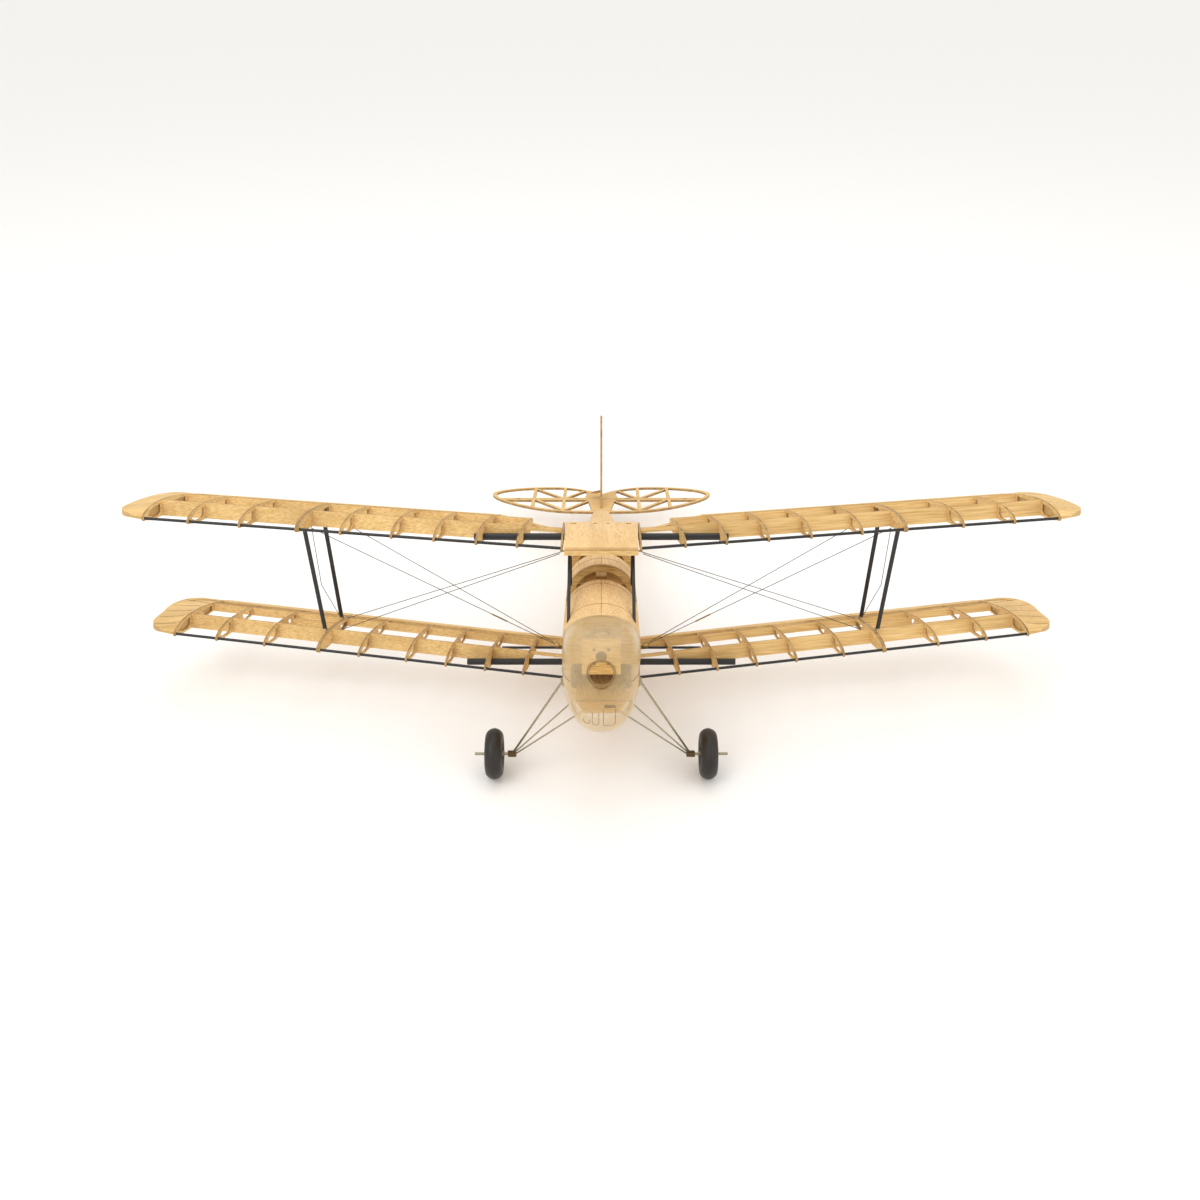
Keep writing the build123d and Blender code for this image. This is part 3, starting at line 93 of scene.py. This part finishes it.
# Sheet wood cut by a laser: fine straight grain, slow changes of tone between boards, and edge faces scorched
# brown. The grain is drawn coarser than real pores, so that it shows.
def laserCutWood(name, light, mid, dark, grainAlong, sheetNormal, burn, settings):
    material, tree, shader = newMaterial(name)
    place = addNode(tree, "ShaderNodeTexCoord")
    along = Vector(grainAlong).normalized()
    turn = along.rotation_difference(Vector((1, 0, 0))).to_euler()
    lined = addNode(tree, "ShaderNodeMapping", Vector=place.outputs["Object"], Rotation=turn)
    perMetre = 1000 / settings["grainWidth"]
    grainSize = addNode(tree, "ShaderNodeMapping", Vector=lined.outputs["Vector"],
                        Scale=(perMetre / settings["grainStretch"], perMetre, perMetre))
    grain = addNode(tree, "ShaderNodeTexNoise", Vector=grainSize.outputs["Vector"], Scale=1.0, Detail=5.0,
                    Roughness=0.62)
    boardSize = addNode(tree, "ShaderNodeMapping", Vector=lined.outputs["Vector"], Scale=settings["boardPatch"])
    board = addNode(tree, "ShaderNodeTexNoise", Vector=boardSize.outputs["Vector"], Scale=1.0, Detail=2.0)
    tone = addNode(tree, "ShaderNodeValToRGB", Fac=grain.outputs["Fac"])
    setRamp(tone, [(0.32, hexColour(dark)), (0.5, hexColour(mid)), (0.68, hexColour(light))])
    boardTone = addNode(tree, "ShaderNodeValToRGB", Fac=board.outputs["Fac"])
    setRamp(boardTone, [(0.35, (0.86, 0.82, 0.76, 1)), (0.65, (1.06, 1.05, 1.03, 1))])
    wood = addNode(tree, "ShaderNodeMix", {"data_type": "RGBA", "blend_type": "MULTIPLY"}, in0=0.8,
                   in6=tone.outputs["Color"], in7=boardTone.outputs["Color"])
    colour = wood.outputs[2]
    if burn:
        across = addNode(tree, "ShaderNodeVectorMath", {"operation": "DOT_PRODUCT"},
                         in0=place.outputs["Normal"], in1=Vector(sheetNormal).normalized())
        facing = addNode(tree, "ShaderNodeMath", {"operation": "ABSOLUTE"}, in0=across.outputs["Value"])
        spots = addNode(tree, "ShaderNodeTexNoise", Vector=place.outputs["Object"],
                        Scale=settings["scorchSpots"], Detail=3.0)
        edge = addNode(tree, "ShaderNodeMapRange", Value=facing.outputs[0], in1=0.62, in2=0.3,
                       in3=0.0, in4=burn)
        uneven = addNode(tree, "ShaderNodeMapRange", Value=spots.outputs["Fac"], in1=0.3, in2=0.7,
                         in3=0.55, in4=1.0)
        amount = addNode(tree, "ShaderNodeMath", {"operation": "MULTIPLY"}, in0=edge.outputs[0],
                         in1=uneven.outputs[0])
        scorched = addNode(tree, "ShaderNodeMix", {"data_type": "RGBA"}, in0=amount.outputs[0], in6=colour,
                           in7=hexColour(settings["scorch"]))
        colour = scorched.outputs[2]
    tree.links.new(colour, shader.inputs["Base Color"])
    bump = addNode(tree, "ShaderNodeBump", Strength=0.35, Distance=0.00012, Height=grain.outputs["Fac"])
    tree.links.new(bump.outputs["Normal"], shader.inputs["Normal"])
    rough = addNode(tree, "ShaderNodeMapRange", Value=grain.outputs["Fac"], in1=0.3, in2=0.7,
                    in3=0.78, in4=0.6)
    tree.links.new(rough.outputs[0], shader.inputs["Roughness"])
    shader.inputs["Specular IOR Level"].default_value = 0.35
    return material


# grain width in millimetres; board patches and scorch spots per metre, so about 110 x 17 mm and 6 mm
balsaSettings = {"grainWidth": 0.9, "grainStretch": 40, "scorch": "5c3610", "boardPatch": (9, 60, 60),
                 "scorchSpots": 160.0}
balsaTones = ("ecce94", "dcb87b", "c49a58")
plySettings = {"grainWidth": 0.8, "grainStretch": 18, "scorch": "4f2d0f", "boardPatch": (9, 60, 60),
               "scorchSpots": 160.0}
plyTones = ("e2bf80", "d0a662", "ad7c3b")

spanDirection = flightDirection(1, 0.1, 0.05)
chordDirection = flightDirection(0, 1, -0.06)
upDirection = flightDirection(0, 0, 1)

# Balsa sheet: pale, almost no sheen, grain along the piece, cut edges toasted brown
balsaRib = laserCutWood("laserCutBalsaRib", *balsaTones, chordDirection, spanDirection, 0.72, balsaSettings)
balsaSpar = laserCutWood("laserCutBalsaSpar", *balsaTones, spanDirection, chordDirection, 0.6, balsaSettings)
balsaStrip = laserCutWood("sawnBalsaStrip", *balsaTones, spanDirection, upDirection, 0.3, balsaSettings)
balsaSide = laserCutWood("laserCutBalsaSide", *balsaTones, chordDirection, (1, 0, 0), 0.6, balsaSettings)
balsaFlat = laserCutWood("laserCutBalsaPlate", *balsaTones, (1, 0, 0), upDirection, 0.7, balsaSettings)
balsaDeck = laserCutWood("bentBalsaSkin", "e9cb98", "dcb884", "cda468", chordDirection, upDirection, 0.0,
                         balsaSettings)
plyFrame = laserCutWood("laserCutBirchPly", *plyTones, (1, 0, 0), chordDirection, 0.75, plySettings)
plyFlat = laserCutWood("laserCutPlyTray", *plyTones, chordDirection, upDirection, 0.7, plySettings)


# Drawn wire: a faintly mottled tone and a soft highlight. Marks per metre, so about 1.4 mm, far coarser than
# real die marks so that they show.
wireMarks = 700.0


def drawnWire(name, tone, roughness, metallic=1.0):
    material, tree, shader = newMaterial(name)
    place = addNode(tree, "ShaderNodeTexCoord")
    streak = addNode(tree, "ShaderNodeTexNoise", Vector=place.outputs["Object"], Scale=wireMarks, Detail=3.0)
    tint = addNode(tree, "ShaderNodeValToRGB", Fac=streak.outputs["Fac"])
    base = Vector(hexColour(tone)[:3])
    setRamp(tint, [(0.3, (*(base * 0.7), 1)), (0.7, (*(base * 1.15), 1))])
    tree.links.new(tint.outputs["Color"], shader.inputs["Base Color"])
    rough = addNode(tree, "ShaderNodeMapRange", Value=streak.outputs["Fac"],
                    in3=roughness - 0.08, in4=roughness + 0.1)
    tree.links.new(rough.outputs[0], shader.inputs["Roughness"])
    shader.inputs["Metallic"].default_value = metallic
    return material


pianoWire = drawnWire("drawnPianoWire", "a59a80", 0.34)
riggingWire = drawnWire("strandedSteelWire", "2b2927", 0.55, 0.4)
copperWire = drawnWire("boundCopperWire", "6f5836", 0.42, 0.6)
brassTube = drawnWire("turnedBrassSleeve", "8a7440", 0.35)


# Pultruded carbon: black and satin, with fibres just visible. Per metre, so about 17 mm long and 0.7 mm wide,
# coarser than real tows; they lie along the span, which on the upright struts is across the piece.
fibreScale = (60, 1500, 1500)


def carbonTube():
    material, tree, shader = newMaterial("pultrudedCarbon")
    place = addNode(tree, "ShaderNodeTexCoord")
    lined = addNode(tree, "ShaderNodeMapping", Vector=place.outputs["Object"], Scale=fibreScale)
    fibre = addNode(tree, "ShaderNodeTexNoise", Vector=lined.outputs["Vector"], Scale=1.0, Detail=2.0)
    tint = addNode(tree, "ShaderNodeValToRGB", Fac=fibre.outputs["Fac"])
    setRamp(tint, [(0.35, hexColour("0b0a0a")), (0.65, hexColour("1c1a18"))])
    tree.links.new(tint.outputs["Color"], shader.inputs["Base Color"])
    rough = addNode(tree, "ShaderNodeMapRange", Value=fibre.outputs["Fac"], in3=0.3, in4=0.46)
    tree.links.new(rough.outputs[0], shader.inputs["Roughness"])
    return material


carbon = carbonTube()


# Moulded foam rubber: brown-black with a dull sheen. Pores about 1.1 mm, coarser than real ones so that they
# show, and patches of tone about 14 mm, both per metre.
tyreScales = {"pores": 900.0, "patches": 70.0}


def foamTyre():
    material, tree, shader = newMaterial("mouldedFoamRubber")
    place = addNode(tree, "ShaderNodeTexCoord")
    pores = addNode(tree, "ShaderNodeTexNoise", Vector=place.outputs["Object"], Scale=tyreScales["pores"],
                    Detail=4.0)
    patches = addNode(tree, "ShaderNodeTexNoise", Vector=place.outputs["Object"], Scale=tyreScales["patches"],
                      Detail=2.0)
    tint = addNode(tree, "ShaderNodeValToRGB", Fac=patches.outputs["Fac"])
    setRamp(tint, [(0.3, hexColour("110b06")), (0.7, hexColour("241a10"))])
    tree.links.new(tint.outputs["Color"], shader.inputs["Base Color"])
    bump = addNode(tree, "ShaderNodeBump", Strength=0.3, Distance=0.0002, Height=pores.outputs["Fac"])
    tree.links.new(bump.outputs["Normal"], shader.inputs["Normal"])
    rough = addNode(tree, "ShaderNodeMapRange", Value=pores.outputs["Fac"], in3=0.38, in4=0.56)
    tree.links.new(rough.outputs[0], shader.inputs["Roughness"])
    return material


tyreRubber = foamTyre()


# Vacuum-formed PETG, thin and milky: the wood behind shows through softly, least at the rim, where the sheet is
# seen edge on. Flow marks per metre, so about 29 mm.
flowMarks = 35.0


def milkyPlastic():
    material, tree, shader = newMaterial("vacuumFormedPetg")
    place = addNode(tree, "ShaderNodeTexCoord")
    flow = addNode(tree, "ShaderNodeTexNoise", Vector=place.outputs["Object"], Scale=flowMarks, Detail=3.0)
    tint = addNode(tree, "ShaderNodeValToRGB", Fac=flow.outputs["Fac"])
    setRamp(tint, [(0.3, hexColour("d3b885")), (0.7, hexColour("e2cba0"))])
    tree.links.new(tint.outputs["Color"], shader.inputs["Base Color"])
    glaze = addNode(tree, "ShaderNodeMapRange", Value=flow.outputs["Fac"], in3=0.12, in4=0.24)
    tree.links.new(glaze.outputs[0], shader.inputs["Roughness"])
    rim = addNode(tree, "ShaderNodeLayerWeight", Blend=0.35)
    cover = addNode(tree, "ShaderNodeMapRange", Value=rim.outputs["Facing"], in3=0.07, in4=0.62)
    tree.links.new(cover.outputs[0], shader.inputs["Alpha"])
    shader.inputs["IOR"].default_value = 1.5
    return material


milkyCowl = milkyPlastic()


# Moulded nylon, dark and slightly shiny, with a speckle of about 2 mm.
nylonSpeckle = 500.0


def mouldedHub():
    material, tree, shader = newMaterial("mouldedNylon")
    place = addNode(tree, "ShaderNodeTexCoord")
    speck = addNode(tree, "ShaderNodeTexNoise", Vector=place.outputs["Object"], Scale=nylonSpeckle, Detail=3.0)
    tint = addNode(tree, "ShaderNodeValToRGB", Fac=speck.outputs["Fac"])
    setRamp(tint, [(0.3, hexColour("1c1a19")), (0.7, hexColour("2b2826"))])
    tree.links.new(tint.outputs["Color"], shader.inputs["Base Color"])
    shader.inputs["Roughness"].default_value = 0.42
    return material


nylon = mouldedHub()

finishes = {
    balsaRib: ["upper_left_ribs", "upper_right_ribs", "lower_left_ribs", "lower_right_ribs",
               "centre_section_ribs"],
    balsaSpar: ["upper_front_spars", "lower_front_spars", "upper_rear_spars", "lower_rear_spars",
                "servo_bay_frames", "left_aileron_frame", "right_aileron_frame", "centre_section_lip"],
    balsaStrip: ["upper_trailing_edges", "lower_trailing_edges", "left_aileron_trailing_edge",
                 "right_aileron_trailing_edge", "upper_wing_tips", "lower_wing_tips"],
    balsaSide: ["fuselage_side_left", "fuselage_side_right", "fin", "rudder"],
    balsaFlat: ["tailplane", "elevator"],
    balsaDeck: ["front_deck", "rear_deck", "fuselage_bottom", "centre_section_skin"],
    plyFrame: ["firewall", "motor_box", "motor_plate", "fuselage_formers", "tail_skid", "hinge_tabs",
               "left_aileron_fittings", "right_aileron_fittings", "elevator_fittings", "rudder_fittings"],
    plyFlat: ["equipment_trays"],
    carbon: ["upper_joiner_tube", "lower_joiner_tube", "rear_joiner_rod", "leading_edge_rods",
             "interplane_struts", "cabane_struts"],
    pianoWire: ["gear_legs", "axles", "gear_clips", "wheel_collars", "strut_tabs", "wire_fixings"],
    riggingWire: ["rigging_wires"],
    copperWire: ["gear_bindings"],
    brassTube: ["turnbuckles"],
    tyreRubber: ["left_tyre", "right_tyre"],
    nylon: ["left_hub", "right_hub"],
    milkyCowl: ["cowl"],
}
for material, names in finishes.items():
    for name in names:
        mesh = nodes[name].data
        mesh.materials.clear()
        mesh.materials.append(material)
print("finishes assigned to", sum(len(names) for names in finishes.values()), "nodes")

# The brown line that a laser leaves in balsa, mottled every 2.5 mm or so; the same dark line also serves as
# painted shade along the deck creases over the formers
scorchAndShadeMottle = 400.0
scorchAndShadeLine, scorchAndShadeTree, scorchAndShadeShader = newMaterial("laserScoredAndShadeLine")
scorchAndShadePlace = addNode(scorchAndShadeTree, "ShaderNodeTexCoord")
scorchAndShadeNoise = addNode(scorchAndShadeTree, "ShaderNodeTexNoise", Vector=scorchAndShadePlace.outputs["Object"],
                        Scale=scorchAndShadeMottle)
scorchAndShadeTint = addNode(scorchAndShadeTree, "ShaderNodeValToRGB", Fac=scorchAndShadeNoise.outputs["Fac"])
setRamp(scorchAndShadeTint, [(0.3, hexColour("5e3d18")), (0.7, hexColour("95703c"))])
scorchAndShadeTree.links.new(scorchAndShadeTint.outputs["Color"], scorchAndShadeShader.inputs["Base Color"])
scorchAndShadeShader.inputs["Roughness"].default_value = 0.8


def sideName(side):
    return "Right" if side < 0 else "Left"


# Gives an added piece its finish, its body and its material slot
def finishPiece(piece, material, body):
    bpy.ops.object.shade_smooth_by_angle()
    piece.data.materials.append(material)
    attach(piece, body)


# The point where a straight line first meets a CAD node, lifted a little off its surface, in millimetres
def dropOnto(node, start, direction, lift):
    reached, place = nodes[node].ray_cast(start, direction)[:2]
    return place - direction * lift / 1000 if reached else None


# A thin round line through the points, its radius in millimetres; a point that missed the surface is left out
def lineAlong(name, points, radius, material, body):
    points = [point for point in points if point is not None]
    curve = bpy.data.curves.new(name, "CURVE")
    curve.dimensions = "3D"
    curve.bevel_depth = radius / 1000
    curve.bevel_resolution = 2
    curve.use_fill_caps = True
    spline = curve.splines.new("POLY")
    spline.points.add(len(points) - 1)
    for place, point in zip(spline.points, points):
        place.co = (*point, 1)
    line = bpy.data.objects.new(name, curve)
    bpy.context.scene.collection.objects.link(line)
    bpy.ops.object.select_all(action="DESELECT")
    line.select_set(True)
    bpy.context.view_layer.objects.active = line
    bpy.ops.object.convert(target="MESH")
    finishPiece(line, material, body)


# A thin ring about an axis, its radii in millimetres
def ringAt(name, centre, axis, majorRadius, minorRadius, material, body):
    turn = Vector((0, 0, 1)).rotation_difference(Vector(axis)).to_euler()
    bpy.ops.object.select_all(action="DESELECT")
    bpy.ops.mesh.primitive_torus_add(major_radius=majorRadius / 1000, minor_radius=minorRadius / 1000,
                                     major_segments=64, minor_segments=8, location=centre, rotation=turn)
    ring = bpy.context.active_object
    ring.name = name
    bpy.ops.object.transform_apply(location=True, rotation=True, scale=True)
    finishPiece(ring, material, body)


# Cowl: rolled bead on the nose ring, side crease and three U-shaped mouldings on the chin; the ridges are real
# mouldings, and their darker, denser tone than the cowl is painted shade along the moulded lines
mouldedEdgeShade, _, edgeShader = newMaterial("vacuumFormedPetgEdgeShade")
# darker than the cowl: painted shade along the creases and beads
edgeShader.inputs["Base Color"].default_value = hexColour("93743f")
edgeShader.inputs["Roughness"].default_value = 0.22
edgeShader.inputs["Alpha"].default_value = 0.85
# millimetres in the flying attitude: x from the centre line, y aft, z up
cowlDetail = {
    "ringY": -147, "ringZ": -75,
    "beads": (("noseRingBead", 0.4, 12.6, 0.6), ("noseRingInnerBead", 1.2, 11.0, 0.4)),
    "creaseY": (-62, -124), "creaseZ": (-97, -91), "creaseRadius": 0.35,
    "mouldings": ((-16.3, -10.6, -128, -134), (-8.1, -2.3, -118, -135), (1.9, 12.9, -114.5, -136)),
    "mouldingRadius": 0.28, "mouldingCorner": 3.2, "lift": 0.1,
}
aft = flightDirection(0, 1, 0)
for name, setBack, radius, thickness in cowlDetail["beads"]:
    centre = flightPoint(0, cowlDetail["ringY"] + setBack, cowlDetail["ringZ"])
    ringAt(name, centre, aft, radius, thickness, mouldedEdgeShade, "airframe")

creaseSteps = 14
for side in (-1, 1):
    creasePoints = []
    for step in range(creaseSteps + 1):
        share = step / creaseSteps
        y = cowlDetail["creaseY"][0] * (1 - share) + cowlDetail["creaseY"][1] * share
        z = cowlDetail["creaseZ"][0] * (1 - share) + cowlDetail["creaseZ"][1] * share
        creasePoints.append(dropOnto("cowl", flightPoint(side * 60, y, z), flightDirection(-side, 0, 0),
                                     cowlDetail["lift"]))
    lineAlong("cowlSideCrease" + sideName(side), creasePoints, cowlDetail["creaseRadius"], mouldedEdgeShade,
              "airframe")


# A U open at the top, its lower corners rounded, as points in x and z
def mouldingOutline(low, high, top, bottom, corner):
    middle = (top + bottom + corner) / 2
    outline = [(low, top), (low, middle)]
    turns = [math.pi * step / 12 for step in range(7)]
    for turn in turns:
        outline.append((low + corner * (1 - math.cos(turn)), bottom + corner * (1 - math.sin(turn))))
    for turn in reversed(turns):
        outline.append((high - corner * (1 - math.cos(turn)), bottom + corner * (1 - math.sin(turn))))
    return outline + [(high, middle), (high, top)]


for number, (low, high, top, bottom) in enumerate(cowlDetail["mouldings"]):
    corner = min((high - low) / 2, cowlDetail["mouldingCorner"])
    rim = [dropOnto("cowl", flightPoint(x, -200, z), aft, cowlDetail["lift"])
           for x, z in mouldingOutline(low, high, top, bottom, corner)]
    lineAlong("chinMoulding%d" % (number + 1), rim, cowlDetail["mouldingRadius"], mouldedEdgeShade, "airframe")
print("cowl details added")

# Tyres: mould seam round the crown and one each side
tyreDetail = {"centre": (110.4, 5.0, -221.8), "seam": 0.3, "crown": 26.3, "shoulder": 23.5,
              "shoulderAt": 6.0}
wheelX, wheelY, wheelZ = tyreDetail["centre"]
for side, body in ((-1, "right_wheel"), (1, "left_wheel")):
    ringAt("tyreCrownSeam_" + body, flightPoint(side * wheelX, wheelY, wheelZ), (1, 0, 0),
           tyreDetail["crown"], tyreDetail["seam"], tyreRubber, body)
    for place, offset in (("inner", -tyreDetail["shoulderAt"]), ("outer", tyreDetail["shoulderAt"])):
        centre = flightPoint(side * (wheelX + offset), wheelY, wheelZ)
        ringAt("tyreShoulderSeam_%s_%s" % (body, place), centre, (1, 0, 0), tyreDetail["shoulder"],
               tyreDetail["seam"], tyreRubber, body)

# Turns of soft wire bound over each axle clamp, each leaning a little against the last
bindingDetail = {"from": 88.4, "pitch": 0.95, "turns": 9, "radius": 3.1, "wire": 0.45, "lean": 0.06,
                 "tilt": 0.04}
for side in (-1, 1):
    for turn in range(bindingDetail["turns"]):
        x = side * (bindingDetail["from"] + turn * bindingDetail["pitch"])
        axis = (1, bindingDetail["lean"] * (-1) ** turn, bindingDetail["tilt"])
        ringAt("bindingTurn%s%d" % (sideName(side), turn + 1), flightPoint(x, wheelY, wheelZ), axis,
               bindingDetail["radius"], bindingDetail["wire"], copperWire, "airframe")
print("wheel details added")

# Decks: the butt joint along the top, and painted shade lines along the creases where the skin bends over the
# formers
deckDetail = {
    "joints": {"front": (-54, 22), "between": (88, 130)}, "jointRadius": 0.18, "jointLift": 0.05,
    "formers": (-36, 12, 110), "formerReach": 35, "formerStep": 2, "lineRadius": 0.22, "lineLift": 0.04,
    "tabSlots": ((-31.3, -25.8), (-8.5, -4.4), (5.2, 8.5), (25.3, 30.7)), "tabY": 64, "slotRadius": 0.5,
}
down = flightDirection(0, 0, -1)
for part, (first, last) in deckDetail["joints"].items():
    seam = [dropOnto("front_deck", flightPoint(0, first + (last - first) * k / 8, 20), down,
                     deckDetail["jointLift"]) for k in range(9)]
    lineAlong("deckJoint_" + part, seam, deckDetail["jointRadius"], scorchAndShadeLine, "airframe")
# Painted shade: a dark line along the crease where the skin bends over each former
for y in deckDetail["formers"]:
    reach = deckDetail["formerReach"]
    creaseShade = [dropOnto("front_deck", flightPoint(x, y, 20), down, deckDetail["lineLift"])
           for x in range(-reach, reach + 1, deckDetail["formerStep"])]
    lineAlong("deckFormerLine_%d" % (y + 100), creaseShade, deckDetail["lineRadius"], scorchAndShadeLine, "airframe")
for number, (low, high) in enumerate(deckDetail["tabSlots"]):
    mark = [dropOnto("centre_section_skin", flightPoint(low + (high - low) * k / 2, deckDetail["tabY"], 40),
                     down, deckDetail["lineLift"]) for k in range(3)]
    lineAlong("tabSlot%d" % (number + 1), mark, deckDetail["slotRadius"], scorchAndShadeLine, "airframe")

# Lower tips: the joints between the fanned planks, outward from the end rib; u is along the panel and v aft of
# its leading edge
plankDetail = {
    "rootX": 37.8, "leadY": 49.9, "sweep": 5.6, "endRib": 426.0, "reach": 37.84, "steps": 8, "radius": 0.22,
    "lift": 0.04, "rows": ((14, 10), (34, 36), (56, 62), (80, 90), (104, 118)),
}
sweepAngle = math.radians(plankDetail["sweep"])
for side in (-1, 1):
    for number, (vIn, vOut) in enumerate(plankDetail["rows"]):
        joint = []
        for step in range(plankDetail["steps"] + 1):
            share = step / plankDetail["steps"]
            u = plankDetail["endRib"] + plankDetail["reach"] * share
            v = vIn + (vOut - vIn) * share
            x = plankDetail["rootX"] + u * math.cos(sweepAngle) - v * math.sin(sweepAngle)
            y = plankDetail["leadY"] + u * math.sin(sweepAngle) + v * math.cos(sweepAngle)
            joint.append(dropOnto("lower_wing_tips", flightPoint(side * x, y, 0), down, plankDetail["lift"]))
        lineAlong("tipPlankJoint%s%d" % (sideName(side), number + 1), joint, plankDetail["radius"],
                  scorchAndShadeLine, "airframe")
print("deck and tip lines added")

# Floor, camera and lights
stageSettings = {"floorTone": "f6f4f1", "floorSize": 80.0, "floorDrop": 0.0005, "worldTone": "ffffff",
                 "worldStrength": 0.98}
bpy.ops.object.select_all(action="DESELECT")
bpy.ops.mesh.primitive_plane_add(size=stageSettings["floorSize"], location=(0, 0, -stageSettings["floorDrop"]))
floor = bpy.context.active_object
floor.name = "studioFloor"
floorMaterial, _, floorShader = newMaterial("matPaperSweep")
floorShader.inputs["Base Color"].default_value = hexColour(stageSettings["floorTone"])
floorShader.inputs["Roughness"].default_value = 0.9
floor.data.materials.append(floorMaterial)

# The camera stands ahead of the upper wing's leading edge and above it, in metres in the flying attitude
cameraSettings = {"lens": 37.5, "sensor": 36, "shift": -0.0011, "pitchDown": 17.71, "ahead": 1.1769,
                  "above": 0.3223}
cameraOffset = flightDirection(0, -cameraSettings["ahead"], cameraSettings["above"])
cameraData = bpy.data.cameras.new("mainCamera")
camera = bpy.data.objects.new("mainCamera", cameraData)
bpy.context.scene.collection.objects.link(camera)
cameraData.lens = cameraSettings["lens"]
cameraData.sensor_width = cameraSettings["sensor"]
cameraData.shift_x = cameraSettings["shift"]
camera.location = flightOrigin + cameraOffset
camera.rotation_euler = (math.radians(90 - cameraSettings["pitchDown"]) - stanceAngle, 0, 0)
bpy.context.scene.camera = camera

# name, place, size and power
lightSettings = [
    ("keyLight", (-1.3, -1.6, 2.3), 1.4, 21),
    ("fillLight", (1.7, -1.4, 1.5), 1.8, 8),
    ("topLight", (0, 0.5, 2.6), 2.0, 12),
]
for name, place, size, power in lightSettings:
    lightData = bpy.data.lights.new(name, "AREA")
    lightData.size = size
    lightData.energy = power
    light = bpy.data.objects.new(name, lightData)
    bpy.context.scene.collection.objects.link(light)
    light.location = place
    light.rotation_euler = (Vector((0, 0, 0.1)) - Vector(place)).to_track_quat("-Z", "Y").to_euler()

world = bpy.data.worlds.new("paleStudio")
bpy.context.scene.world = world
world.use_nodes = True
background = world.node_tree.nodes["Background"]
background.inputs["Color"].default_value = hexColour(stageSettings["worldTone"])
background.inputs["Strength"].default_value = stageSettings["worldStrength"]
bpy.context.scene.view_settings.view_transform = "Standard"
print("camera and lights set")
